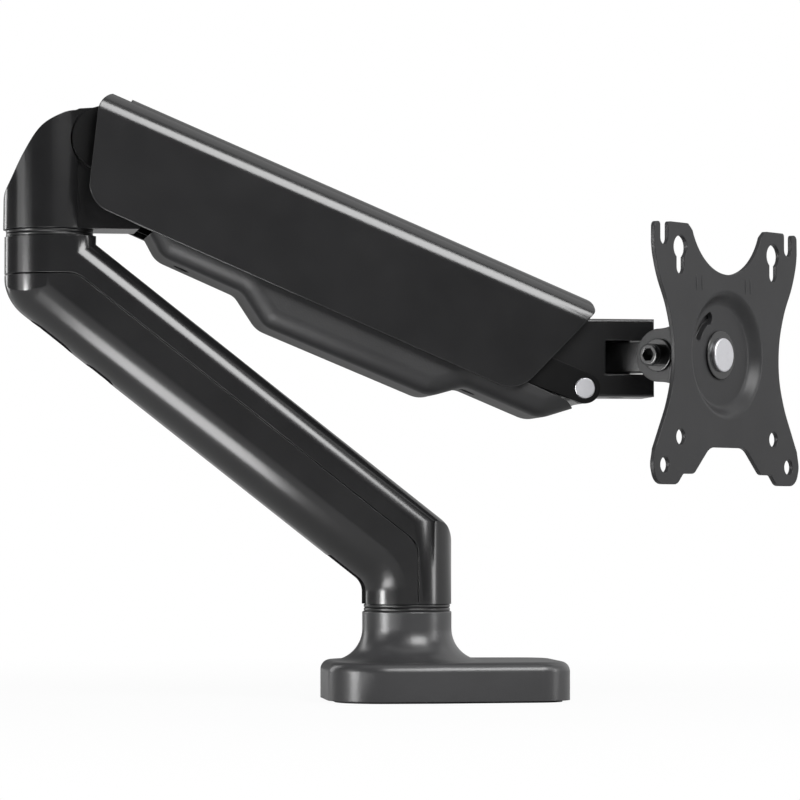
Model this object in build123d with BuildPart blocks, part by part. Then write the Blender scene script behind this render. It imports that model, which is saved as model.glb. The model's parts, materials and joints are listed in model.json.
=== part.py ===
"""Desk monitor arm with a gas spring: base, bent lower arm, elbow, sprung upper arm, head and screen plate.

Millimetres, +Z up. The origin is on the desk under the base swivel axis, and +X is the way the screen
plate faces. The arm is folded: its upper half runs back over its lower half, in one upright plane.
"""

import os
from math import atan2, cos, degrees, hypot, radians, sin

from build123d import *

# Directions seen from above
ARM_YAW = 47.0
BASE_YAW = 45.0

# Fits
RUN = 0.05
SEAM = 0.6
PLAY = 0.1

# Base
BASE_FRONT = 71.7
BASE_BACK = 37.8
BASE_HALF = 41.4
BASE_END_HALF = 35.0
BASE_CORNER = 17.0
BASE_TOP = 18.2
BASE_EDGE = 4.5
BASE_WALL = 2.6
COLUMN_R = 20.3
COLUMN_TOP = 40.5
COLUMN_BLEND = 14.5
PAD_T = 0.8
PAD_INSET = 3.4
FOOT_T = 5.0
FOOT_INSET = 3.0
FOOT_PCD = 56.0
FOOT_HOLE_R = 3.4
PAD_HOLE_R = 5.0
POST_R = 8.0
POST_FLANGE_R = 17.0
POST_FLANGE_T = 4.0
POST_TOP = 70.5
BUSH_WALL = 2.0
CAP_HALF = 17.0
CAP_TOP = 11.5
CAP_PROUD = 0.5

# Swivel washers, one fixed to each side
WASHER_R = 19.6
WASHER_T = 1.6

# Lower arm
REACH = 162.6
STUB_R = 20.2
LOWER_BOTTOM = COLUMN_TOP + 2 * WASHER_T + PLAY
LOWER_TOP = 208.7
LOWER_HALF = STUB_R
DIAG_FALL = 127.5
DIAG_SLOPE = degrees(atan2(DIAG_FALL, REACH))
DIAG_HALF = 22.0
DIAG_AT_ELBOW = LOWER_TOP - 15.85
LOWER_ROUND = 17.5
UPPER_ROUND = 10.0
SEAM_RISE = 7.3
LOWER_WALL = 2.8
WINDOW_HALF = 6.5
STUB_BORE_R = 10.0

# Elbow
ELBOW_BOTTOM = LOWER_TOP + 2 * WASHER_T + PLAY
ELBOW_TOP = 264.9
HUB_R = 20.8
HUB_FACE = 11.3
YOKE_HALF = 14.6
YOKE_SLOT_HALF = 7.0
ELBOW_POST_R = 8.0
ELBOW_POST_TOP = ELBOW_BOTTOM + 25.5
TENSION_R = 2.2

# Parallelogram
UPPER_REAR = (23.3, ELBOW_TOP - 12.7)
LOWER_REAR = (UPPER_REAR[0] + 12.0, UPPER_REAR[1] - 26.0)
LINK_LENGTH = 222.4
LINK_SLOPE = 22.36
PIN_R = 3.5
NOSE_PIN_R = 4.65

# Upper link
UPPER_IN = 15.4
UPPER_OUT = 18.4
UPPER_EYE_R = 14.6
UPPER_FRONT_R = 7.0
UPPER_WEB_T = 2.5
UPPER_DEPTH = 9.0

# Lower link
LINK_IN = 18.8
LINK_OUT = 21.8
LINK_NOSE_R = 7.0
LINK_REAR_DEPTH = 9.4
LINK_WEB_T = 2.5
LINK_TAPER = 146.0
LINK_WEB_START = 16.0
LINK_WEB_END = 197.0

# Tray
TRAY_IN = 22.2
TRAY_OUT = 24.2
TRAY_FLOOR = 2.2
TRAY_RIM = 3.0
TRAY_RIM_FRONT = 8.6
TRAY_ROUND = 9.0
TRAY_SCREW_1 = 34.0
TRAY_SCREW_2 = 176.0
TRAY_HEAD_1 = 12.2
TRAY_HEAD_2 = 15.3
TRAY_BOSS_R = 5.4
TRAY_SINK_R = 3.9

# Upper cover
HOOD_IN = 25.5
HOOD_OUT = 28.0
HOOD_EDGE = 11.0
HOOD_TOP_T = 2.6
HOOD_SCREW_1 = 60.0
HOOD_SCREW_2 = 186.0
HOOD_BOSS_1 = 4.0
HOOD_BOSS_2 = 2.6
HOOD_NOTCH_HALF = 23.0
HOOD_NOTCH = 16.0
SMALL_SCREW_R = 1.6

# Gas spring
SPRING_REAR = (UPPER_REAR[0] + 11.5, UPPER_REAR[1] - 12.6)
SPRING_FRONT_ALONG = 174.0
SPRING_FRONT_DROP = 4.0
SPRING_PIN_R = 3.0
SPRING_PIN_PLAY = 1.8
BARREL_R = 9.0
BARREL_START = 16.0
BARREL_END = 113.0
BARREL_BORE_R = 7.4
ROD_R = 4.5
PISTON_R = 7.2

# Head
HEAD_BELOW = 3.6
HEAD_ABOVE = 31.9
HEAD_HALF = 15.0
HEAD_BEHIND = 19.3
HEAD_AHEAD = 15.2
SLOT_DEEP = 7.5
SLOT_HEIGHT = 15.4
PAN_AHEAD = 18.45
PAN_PIN_R = 4.0
TONGUE_HALF = 6.8
TONGUE_EYE_R = 7.2
TONGUE_HALF_HEIGHT = 6.9
TILT_OUT = 36.0
PLATE_OUT = 62.0
PLATE_RISE = 14.4
BARREL_HALF = 13.2
KNUCKLE_R = 9.0

# Tilt bracket
EAR_IN = 14.0
EAR_OUT = 17.0
EAR_R = 12.0
EAR_ROOT = 19.0
BRACKET_BACK = 51.2
BRACKET_T = 3.0
BRACKET_R = 21.5
TILT_BOLT_R = 4.0
TILT_HEAD_R = 4.9
TILT_HEAD_L = 7.0
TILT_WASHER_R = 7.5
TILT_WASHER_T = 1.5

# Screen plate
PLATE_T = 2.5
DISH_R = 27.5
DISH_FLOOR_R = 23.5
DISH_DEPTH = 4.5
VESA_LARGE = 100.0
VESA_SMALL = 75.0
PLATE_HOLE_R = 3.3
SLOT_R = 2.9
KEY_R = 5.2
KEY_RISE = 9.0
PIVOT_R = 5.0
PLATE_WASHER_T = 1.0
CAP_SUNK = 1.7

C = cos(radians(ARM_YAW))
S = sin(radians(ARM_YAW))
ELBOW_X = -REACH * C
ELBOW_Y = -REACH * S
ARM = Plane(origin=(ELBOW_X, ELBOW_Y, 0), x_dir=(C, S, 0), z_dir=(S, -C, 0))
LINK_C = cos(radians(LINK_SLOPE))
LINK_S = sin(radians(LINK_SLOPE))
UPPER_FRONT = (UPPER_REAR[0] + LINK_LENGTH * LINK_C, UPPER_REAR[1] - LINK_LENGTH * LINK_S)
LOWER_FRONT = (LOWER_REAR[0] + LINK_LENGTH * LINK_C, LOWER_REAR[1] - LINK_LENGTH * LINK_S)
PAN_AT = LOWER_FRONT[0] + PAN_AHEAD
PAN_X = ELBOW_X + PAN_AT * C
PAN_Y = ELBOW_Y + PAN_AT * S
PLATE_Z = LOWER_FRONT[1] + PLATE_RISE
HEAD_BOTTOM = LOWER_FRONT[1] - HEAD_BELOW
HEAD_TOP = LOWER_FRONT[1] + HEAD_ABOVE
HEAD_BACK = LOWER_FRONT[0] - HEAD_BEHIND
HEAD_END = PAN_AT + HEAD_AHEAD
SLOT_BACK = PAN_AT - SLOT_DEEP
SLOT_LOW = PLATE_Z - SLOT_HEIGHT / 2
SLOT_HIGH = PLATE_Z + SLOT_HEIGHT / 2

TENSION_AT = UPPER_REAR[0] + 6.0
TENSION_TOP = UPPER_REAR[1] + 13.9

os.makedirs("parts", exist_ok=True)


def base_level(height):
    """Level plane on the swivel axis, x along the base."""
    yaw = radians(BASE_YAW)
    return Plane(origin=(0, 0, height), x_dir=(cos(yaw), sin(yaw), 0), z_dir=(0, 0, 1))


def elbow_level(height):
    """Level plane on the elbow axis, x along the upper arm."""
    return Plane(origin=(ELBOW_X, ELBOW_Y, height), x_dir=(C, S, 0), z_dir=(0, 0, 1))


def pan_level(height):
    """Level plane on the pan axis, x the way the screen plate faces."""
    return Plane(origin=(PAN_X, PAN_Y, height), x_dir=(1, 0, 0), z_dir=(0, 0, 1))


def facing(out):
    """Upright plane across the plate's direction, this far from the pan axis: x to its right, y up."""
    return Plane(origin=(PAN_X + out, PAN_Y, PLATE_Z), x_dir=(0, 1, 0), z_dir=(1, 0, 0))


def tilt_side(across):
    """Upright plane square to the tilt axis, its origin on that axis: x the way the plate faces, y up."""
    return Plane(
        origin=(PAN_X + TILT_OUT, PAN_Y - across, PLATE_Z), x_dir=(1, 0, 0), z_dir=(0, -1, 0)
    )


def arm_side(across):
    """Upright plane along the arm, moved this far towards its near side: x from the elbow axis, y height."""
    return ARM.offset(across)


def along(start, run, rise=0.0):
    """A point beside the sloping links: run along them, rise square to them."""
    return (
        start[0] + run * LINK_C + rise * LINK_S,
        start[1] - run * LINK_S + rise * LINK_C,
    )


def round_at(sketch, at, radius):
    """Round the sketch's corner nearest to this point."""
    fillet(sketch.vertices().sort_by_distance(at)[0], radius)


def keep(name, piece):
    """Label a finished piece and write its file."""
    piece.label = name
    export_step(piece, f"parts/{name}.step")


def base_outline(inset):
    """The base seen from above: round behind the column, a little narrower at its far end."""
    with BuildSketch() as plan:
        with BuildLine():
            Polyline(
                (-BASE_BACK + inset, -BASE_HALF + inset),
                (10, -BASE_HALF + inset),
                (BASE_FRONT - inset, -BASE_END_HALF + inset),
                (BASE_FRONT - inset, BASE_END_HALF - inset),
                (10, BASE_HALF - inset),
                (-BASE_BACK + inset, BASE_HALF - inset),
                close=True,
            )
        make_face()
        corners = plan.vertices().group_by(Axis.X)
        fillet(corners[0], BASE_CORNER + 8 - inset)
        fillet(plan.vertices().group_by(Axis.X)[-1], BASE_CORNER - inset)
    return plan.sketch


# Base

with BuildPart() as desk_pad:
    with BuildSketch(base_level(0)):
        add(base_outline(PAD_INSET))
        with PolarLocations(FOOT_PCD / 2, 4, start_angle=45):
            Circle(PAD_HOLE_R, mode=Mode.SUBTRACT)
    extrude(amount=PAD_T)
keep("desk_pad", desk_pad.part)

with BuildPart() as foot_plate:
    with BuildSketch(base_level(PAD_T)):
        add(base_outline(FOOT_INSET))
        with PolarLocations(FOOT_PCD / 2, 4, start_angle=45):
            Circle(FOOT_HOLE_R, mode=Mode.SUBTRACT)
    extrude(amount=FOOT_T)
    with BuildSketch(base_level(PAD_T)):
        Circle(4.2)
    extrude(amount=FOOT_T, mode=Mode.SUBTRACT)
    with BuildSketch(base_level(PAD_T)):
        Circle(7.6)
    extrude(amount=3.0, mode=Mode.SUBTRACT)
    with BuildSketch(base_level(PAD_T)):
        with Locations((BASE_FRONT, 0)):
            Rectangle(14, 2 * CAP_HALF + 1)
    extrude(amount=FOOT_T, mode=Mode.SUBTRACT)
keep("foot_plate", foot_plate.part)

with BuildPart() as base_shell:
    with BuildSketch(base_level(PAD_T)):
        add(base_outline(0))
    extrude(amount=BASE_TOP - PAD_T)
    fillet(base_shell.faces().sort_by(Axis.Z)[-1].edges(), BASE_EDGE)
    with BuildSketch(base_level(BASE_TOP - 1)):
        Circle(COLUMN_R)
    extrude(amount=COLUMN_TOP - BASE_TOP + 1)
    joint_ring = (
        base_shell.edges()
        .filter_by(GeomType.CIRCLE)
        .filter_by(lambda e: abs(e.radius - COLUMN_R) < 0.01 and abs(e.center().Z - BASE_TOP) < 0.01)
    )
    fillet(joint_ring, COLUMN_BLEND)
    fillet(base_shell.faces().sort_by(Axis.Z)[-1].edges(), 0.6)
    with BuildSketch(base_level(PAD_T)):
        add(base_outline(BASE_WALL))
    extrude(amount=BASE_TOP - BASE_WALL - PAD_T, mode=Mode.SUBTRACT)
    with BuildSketch(base_level(BASE_TOP - BASE_WALL - 0.5)):
        Circle(COLUMN_R - 4)
    extrude(amount=COLUMN_TOP - 6 - BASE_TOP + BASE_WALL + 0.5, mode=Mode.SUBTRACT)
    with BuildSketch(base_level(PAD_T)):
        Circle(POST_R + RUN)
    extrude(amount=COLUMN_TOP, mode=Mode.SUBTRACT)
    with BuildSketch(base_level(PAD_T)):
        with Locations((BASE_FRONT, 0)):
            Rectangle(2 * BASE_WALL + 8, 2 * CAP_HALF)
    extrude(amount=CAP_TOP - PAD_T, mode=Mode.SUBTRACT)
    with BuildSketch(base_level(PAD_T + FOOT_T)):
        with Locations((30, 18), (30, -18)):
            Circle(4)
    extrude(amount=BASE_TOP - BASE_WALL - PAD_T - FOOT_T + 0.5)
    with BuildSketch(base_level(PAD_T + FOOT_T)):
        with Locations((30, 18), (30, -18)):
            Circle(1.4)
    extrude(amount=7, mode=Mode.SUBTRACT)
keep("base_shell", base_shell.part)

with BuildPart() as end_cap:
    with BuildSketch(base_level(PAD_T)):
        with Locations((BASE_FRONT - BASE_WALL / 2 + CAP_PROUD / 2, 0)):
            Rectangle(BASE_WALL + CAP_PROUD, 2 * CAP_HALF - SEAM)
    extrude(amount=CAP_TOP - PAD_T - SEAM / 2)
    fillet(end_cap.edges().filter_by(Axis.Z), 0.8)
    with BuildSketch(base_level(PAD_T)):
        with Locations((BASE_FRONT - BASE_WALL - 1.0, 0)):
            with GridLocations(1, 2 * CAP_HALF - 6, 1, 2):
                Rectangle(3.0, 3.0)
    extrude(amount=CAP_TOP - PAD_T - SEAM / 2)
    with BuildSketch(base_level(CAP_TOP - 3)):
        with Locations((BASE_FRONT + CAP_PROUD, 0)):
            Rectangle(1.2, 14)
    extrude(amount=1.6, mode=Mode.SUBTRACT)
keep("end_cap", end_cap.part)

with BuildPart() as swivel_post:
    with BuildSketch(base_level(PAD_T + FOOT_T)):
        Circle(POST_FLANGE_R - 2)
    extrude(amount=POST_FLANGE_T)
    with BuildSketch(base_level(PAD_T + FOOT_T)):
        Circle(POST_R)
    extrude(amount=POST_TOP - PAD_T - FOOT_T)
    chamfer(swivel_post.faces().sort_by(Axis.Z)[-1].edges(), 1.2)
    with BuildSketch(base_level(PAD_T + FOOT_T)):
        Circle(4.0)
    extrude(amount=16, mode=Mode.SUBTRACT)
keep("swivel_post", swivel_post.part)

with BuildPart() as post_screw:
    with BuildSketch(base_level(PAD_T + 0.2)):
        Circle(7.4)
    extrude(amount=2.8)
    with BuildSketch(base_level(PAD_T + 0.2)):
        Circle(4.0 - RUN)
    extrude(amount=18)
    with BuildSketch(base_level(PAD_T + 0.2)):
        RegularPolygon(2.9, 6)
    extrude(amount=1.8, mode=Mode.SUBTRACT)
keep("post_screw", post_screw.part)


def ring(name, level, outer, inner, thick):
    """A flat washer with softened edges."""
    with BuildPart() as washer:
        with BuildSketch(level):
            Circle(outer)
            Circle(inner, mode=Mode.SUBTRACT)
        extrude(amount=thick)
        rims = washer.edges().filter_by(GeomType.CIRCLE).group_by(lambda e: e.radius)[-1]
        fillet(rims, min(0.5, thick * 0.3))
    keep(name, washer.part)


ring("base_washer", base_level(COLUMN_TOP), WASHER_R, POST_R + 0.3, WASHER_T)
ring("stub_washer", base_level(COLUMN_TOP + WASHER_T + PLAY), WASHER_R, POST_R + 0.3, WASHER_T)

with BuildPart() as swivel_bush:
    with BuildSketch(base_level(LOWER_BOTTOM)):
        Circle(STUB_BORE_R)
        Circle(POST_R + RUN, mode=Mode.SUBTRACT)
    extrude(amount=24)
keep("swivel_bush", swivel_bush.part)

# Lower arm

SLOPE = DIAG_FALL / REACH


def diagonal(s, rise):
    """Height of a line along the sloping part, this far above its middle, at distance s from the elbow."""
    return DIAG_AT_ELBOW + rise / cos(radians(DIAG_SLOPE)) - SLOPE * s


def lower_outline(inset):
    """Side outline of the bent lower arm."""
    half = STUB_R - inset
    rise = DIAG_HALF - inset
    with BuildSketch() as side:
        with BuildLine():
            Polyline(
                (-half, LOWER_TOP),
                (-half, diagonal(-half, -rise)),
                (REACH - half, diagonal(REACH - half, -rise)),
                (REACH - half, LOWER_BOTTOM),
                (REACH + half, LOWER_BOTTOM),
                (REACH + half, diagonal(REACH + half, rise)),
                (half, diagonal(half, rise)),
                (half, LOWER_TOP),
                close=True,
            )
        make_face()
        round_at(side, (-half, diagonal(-half, -rise)), 22.0 - inset)
        round_at(side, (REACH + half, diagonal(REACH + half, rise)), 17.0 - inset)
        round_at(side, (REACH - half, diagonal(REACH - half, -rise)), 8.0 + inset)
    return side.sketch


def stub_hull(inset):
    """The lower arm seen from above: a long shape with round ends on the two swivel axes."""
    with BuildSketch() as plan:
        with Locations((REACH / 2, 0)):
            SlotCenterToCenter(REACH, 2 * (STUB_R - inset))
    return plan.sketch


def seam_area(rise, down):
    """Everything under the seam between casting and cable cover."""
    level = LOWER_TOP - 17.2 + rise
    drop = REACH + 1.8 + down
    turn = (DIAG_AT_ELBOW + SEAM_RISE + rise - level) / SLOPE
    with BuildSketch() as below:
        with BuildLine():
            Polyline(
                (-40, level),
                (turn, level),
                (drop, level - SLOPE * (drop - turn)),
                (drop, 20),
                (-40, 20),
                close=True,
            )
        make_face()
        high = below.vertices().sort_by_distance((turn, level))[0]
        low = below.vertices().sort_by_distance((drop, level - SLOPE * (drop - turn)))[0]
        fillet([high, low], 11.0)
    return below.sketch


def under_side(s):
    """Plane on the underside of the sloping part, facing outwards, x down the slope."""
    slope = radians(DIAG_SLOPE)
    at = ARM.from_local_coords((s, diagonal(s, -DIAG_HALF), 0))
    return Plane(
        origin=at,
        x_dir=(C * cos(slope), S * cos(slope), -sin(slope)),
        z_dir=(-C * sin(slope), -S * sin(slope), -cos(slope)),
    )


def arm_rims(part, half, under):
    """The edges of a lower arm form along its underside, or along its top."""

    def is_rim(edge):
        at = ARM.to_local_coords(edge.center())
        inside = LOWER_BOTTOM + 0.01 < at.Y < LOWER_TOP - 0.01
        return inside and abs(abs(at.Z) - half) < 0.01 and (at.Y < diagonal(at.X, 0)) == under

    return part.edges().filter_by(is_rim)


with BuildPart() as arm_form:
    with BuildSketch(ARM):
        add(lower_outline(0))
    extrude(amount=LOWER_HALF, both=True)
    fillet(arm_rims(arm_form, LOWER_HALF, True), LOWER_ROUND)
    fillet(arm_rims(arm_form, LOWER_HALF, False), UPPER_ROUND)
    with BuildSketch(elbow_level(0)):
        add(stub_hull(0))
    extrude(amount=LOWER_TOP + 10, mode=Mode.INTERSECT)

with BuildPart() as arm_core:
    with BuildSketch(ARM):
        add(lower_outline(LOWER_WALL))
    extrude(amount=LOWER_HALF - LOWER_WALL, both=True)
    fillet(arm_rims(arm_core, LOWER_HALF - LOWER_WALL, True), LOWER_ROUND - LOWER_WALL)
    fillet(arm_rims(arm_core, LOWER_HALF - LOWER_WALL, False), UPPER_ROUND - LOWER_WALL)
    with BuildSketch(elbow_level(0)):
        add(stub_hull(LOWER_WALL))
    extrude(amount=LOWER_TOP + 10, mode=Mode.INTERSECT)

with BuildPart() as lower_arm_casting:
    add(arm_form.part)
    with BuildSketch(ARM):
        add(seam_area(SEAM, SEAM))
    extrude(amount=40, both=True, mode=Mode.SUBTRACT)
    add(arm_core.part, mode=Mode.SUBTRACT)
    with BuildSketch(base_level(LOWER_BOTTOM)):
        Circle(STUB_R - 1.4)
    extrude(amount=27)
    with BuildSketch(elbow_level(LOWER_TOP)):
        Circle(STUB_R - 1.4)
    extrude(amount=-12)
    with BuildSketch(base_level(LOWER_BOTTOM)):
        Circle(STUB_BORE_R)
    extrude(amount=28, mode=Mode.SUBTRACT)
    with BuildSketch(elbow_level(LOWER_TOP)):
        Circle(ELBOW_POST_R)
    extrude(amount=-14, mode=Mode.SUBTRACT)
keep("lower_arm_casting", lower_arm_casting.part)

with BuildPart() as cable_cover:
    add(arm_form.part)
    with BuildSketch(ARM):
        add(seam_area(0, 0))
    extrude(amount=40, both=True, mode=Mode.INTERSECT)
    add(arm_core.part, mode=Mode.SUBTRACT)
    with BuildSketch(base_level(LOWER_BOTTOM - 1)):
        Circle(STUB_R - 1.0)
    extrude(amount=29, mode=Mode.SUBTRACT)
    with BuildSketch(ARM):
        with BuildLine():
            Polyline(
                (REACH - 39, 30),
                (REACH - 39, 66),
                (REACH - 27, 66),
                (REACH - 17, 58),
                (REACH - 17, 46),
                (REACH - 27, 30),
                close=True,
            )
        make_face()
    extrude(amount=WINDOW_HALF, both=True, mode=Mode.SUBTRACT)
    with BuildSketch(under_side(1.0)):
        SlotOverall(24, 2 * WINDOW_HALF)
    extrude(amount=8, both=True, mode=Mode.SUBTRACT)
    with BuildSketch(under_side(22.5)):
        RectangleRounded(15, 2 * WINDOW_HALF, 4)
    extrude(amount=8, both=True, mode=Mode.SUBTRACT)
keep("cable_cover", cable_cover.part)

with BuildPart() as elbow_post:
    with BuildSketch(elbow_level(LOWER_TOP - 14)):
        Circle(ELBOW_POST_R)
    extrude(amount=ELBOW_POST_TOP - LOWER_TOP + 14)
    chamfer(elbow_post.faces().sort_by(Axis.Z)[-1].edges(), 1.2)
keep("elbow_post", elbow_post.part)

ring("elbow_washer_low", elbow_level(LOWER_TOP), WASHER_R, ELBOW_POST_R + 0.3, WASHER_T)
ring("elbow_washer_high", elbow_level(LOWER_TOP + WASHER_T + PLAY), WASHER_R, ELBOW_POST_R + 0.3, WASHER_T)

# Elbow

with BuildPart() as elbow_housing:
    with BuildSketch(ARM):
        with BuildLine():
            back = Line((-HUB_R, ELBOW_BOTTOM), (-HUB_R + 0.2, ELBOW_TOP - 39.7))
            crown = Spline(
                back @ 1,
                (-17.9, ELBOW_TOP - 30.8),
                (-8.0, ELBOW_TOP - 11.2),
                (-4.0, ELBOW_TOP - 6.6),
                (2.5, ELBOW_TOP - 2.6),
                (HUB_FACE + 3, ELBOW_TOP),
                tangents=(back % 1, (1, 0)),
            )
            Polyline(
                crown @ 1,
                (HUB_FACE + 6, ELBOW_TOP),
                (HUB_FACE + 6, ELBOW_BOTTOM),
                (-HUB_R, ELBOW_BOTTOM),
            )
        make_face()
    extrude(amount=HUB_R + 5, both=True)
    with BuildSketch(elbow_level(ELBOW_BOTTOM)):
        Circle(HUB_R)
    extrude(amount=65, taper=0.4, mode=Mode.INTERSECT)
    with BuildSketch(ARM):
        with BuildLine():
            Polyline(
                (HUB_FACE, ELBOW_BOTTOM - 5),
                (HUB_FACE, ELBOW_TOP + 5),
                (60, ELBOW_TOP + 5),
                (60, ELBOW_BOTTOM - 5),
                close=True,
            )
        make_face()
        with Locations(UPPER_REAR):
            Circle(UPPER_EYE_R + 0.6)
    extrude(amount=60, both=True, mode=Mode.SUBTRACT)
    with BuildSketch(ARM):
        with BuildLine():
            Polyline(
                (0, ELBOW_BOTTOM),
                (UPPER_REAR[0] + 15.7, ELBOW_BOTTOM),
                (UPPER_REAR[0] + 17.7, ELBOW_BOTTOM + 2),
                (UPPER_REAR[0] + 17.7, UPPER_REAR[1] - 21.6),
                (UPPER_REAR[0] + 13.5, UPPER_REAR[1] + 2.4),
                (UPPER_REAR[0] + 8.5, UPPER_REAR[1] + 10.7),
                (UPPER_REAR[0] - 3, UPPER_REAR[1] + 14.2),
                (HUB_FACE + 1, UPPER_REAR[1] + 13.6),
                (0, UPPER_REAR[1] + 8.4),
                close=True,
            )
        make_face()
    extrude(amount=YOKE_HALF, both=True)
    with BuildSketch(ARM):
        with BuildLine():
            Polyline(
                (UPPER_REAR[0] + 0.5, UPPER_REAR[1] - 21.8),
                (80, UPPER_REAR[1] - 21.8),
                (80, UPPER_REAR[1] + 4.4),
                (UPPER_REAR[0] + 0.5, UPPER_REAR[1] + 4.4),
                close=True,
            )
        make_face()
    extrude(amount=YOKE_SLOT_HALF, both=True, mode=Mode.SUBTRACT)
    with BuildSketch(ARM):
        with Locations(UPPER_REAR):
            Circle(PIN_R)
        with Locations(LOWER_REAR):
            Circle(PIN_R)
    extrude(amount=60, both=True, mode=Mode.SUBTRACT)
    with BuildSketch(elbow_level(ELBOW_BOTTOM)):
        Circle(ELBOW_POST_R + BUSH_WALL)
    extrude(amount=ELBOW_POST_TOP + 1 - ELBOW_BOTTOM, mode=Mode.SUBTRACT)
    with BuildSketch(elbow_level(ELBOW_BOTTOM)):
        Circle(17)
        Circle(13, mode=Mode.SUBTRACT)
        with Locations((15, 0)):
            Rectangle(30, 50, mode=Mode.SUBTRACT)
    extrude(amount=15, mode=Mode.SUBTRACT)
    with BuildSketch(elbow_level(TENSION_TOP)):
        with Locations((TENSION_AT, 0)):
            Circle(TENSION_R + 0.1)
    extrude(amount=-12, mode=Mode.SUBTRACT)
    with BuildSketch(elbow_level(TENSION_TOP)):
        with Locations((TENSION_AT, 0)):
            Circle(4.4)
    extrude(amount=-5.5, mode=Mode.SUBTRACT)
keep("elbow_housing", elbow_housing.part)

with BuildPart() as elbow_bush:
    with BuildSketch(elbow_level(ELBOW_BOTTOM)):
        Circle(ELBOW_POST_R + BUSH_WALL)
        Circle(ELBOW_POST_R + RUN, mode=Mode.SUBTRACT)
    extrude(amount=22)
keep("elbow_bush", elbow_bush.part)

with BuildPart() as tension_screw:
    with BuildSketch(elbow_level(TENSION_TOP - 5.4)):
        with Locations((TENSION_AT, 0)):
            Circle(4.2)
    extrude(amount=3.6)
    with BuildSketch(elbow_level(TENSION_TOP - 5.4)):
        with Locations((TENSION_AT, 0)):
            Circle(TENSION_R)
    extrude(amount=-29)
    with BuildSketch(elbow_level(TENSION_TOP - 1.8)):
        with Locations((TENSION_AT, 0)):
            RegularPolygon(2.3, 6)
    extrude(amount=-2.2, mode=Mode.SUBTRACT)
keep("tension_screw", tension_screw.part)

with BuildPart() as tension_nut:
    with BuildSketch(ARM):
        with BuildLine():
            Polyline(
                (SPRING_REAR[0] - 10, SPRING_REAR[1] - 5),
                (SPRING_REAR[0] + 1.5, SPRING_REAR[1] - 5),
                (SPRING_REAR[0] + 4.5, SPRING_REAR[1] - 2),
                (SPRING_REAR[0] + 4.5, SPRING_REAR[1] + 2),
                (SPRING_REAR[0] + 1.5, SPRING_REAR[1] + 5),
                (SPRING_REAR[0] - 10, SPRING_REAR[1] + 5),
                close=True,
            )
        make_face()
    extrude(amount=4.2, both=True)
    with BuildSketch(elbow_level(SPRING_REAR[1] - 13)):
        with Locations((TENSION_AT, 0)):
            Circle(TENSION_R)
    extrude(amount=30, mode=Mode.SUBTRACT)
    with BuildSketch(ARM):
        with Locations(SPRING_REAR):
            Circle(SPRING_PIN_R)
    extrude(amount=20, both=True, mode=Mode.SUBTRACT)
keep("tension_nut", tension_nut.part)


def cross_pin(name, at, radius, half, soft=0.4):
    """A plain round pin across the arm."""
    with BuildPart() as pin:
        with BuildSketch(ARM):
            with Locations(at):
                Circle(radius)
        extrude(amount=half, both=True)
        chamfer(pin.edges().filter_by(GeomType.CIRCLE), soft)
    keep(name, pin.part)


def spacer(name, at, inner, outer, start, stop):
    """A plain spacing ring across the arm, from one distance to the other beside its middle plane."""
    with BuildPart() as tube:
        with BuildSketch(arm_side(start)):
            with Locations(at):
                Circle(outer)
                Circle(inner, mode=Mode.SUBTRACT)
        extrude(amount=stop - start)
    keep(name, tube.part)


cross_pin("elbow_upper_pin", UPPER_REAR, PIN_R, UPPER_OUT)
cross_pin("elbow_lower_pin", LOWER_REAR, PIN_R, LINK_OUT)
cross_pin("spring_rear_pin", SPRING_REAR, SPRING_PIN_R, YOKE_SLOT_HALF - 0.3)
spacer("elbow_spacer_near", LOWER_REAR, PIN_R + RUN, 6.6, YOKE_HALF + PLAY, LINK_IN - PLAY)
spacer("elbow_spacer_far", LOWER_REAR, PIN_R + RUN, 6.6, -LINK_IN + PLAY, -YOKE_HALF - PLAY)

# Upper link, a channel with its web on top

SPRING_FRONT = along(UPPER_REAR, SPRING_FRONT_ALONG, -SPRING_FRONT_DROP)


def link_level(start, rise):
    """Plane along the sloping links, this far above the pivot line, x down the slope and z square to it."""
    at = ARM.from_local_coords((*along(start, 0, rise), 0))
    return Plane(
        origin=at,
        x_dir=(C * LINK_C, S * LINK_C, -LINK_S),
        z_dir=(C * LINK_S, S * LINK_S, LINK_C),
    )


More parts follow.
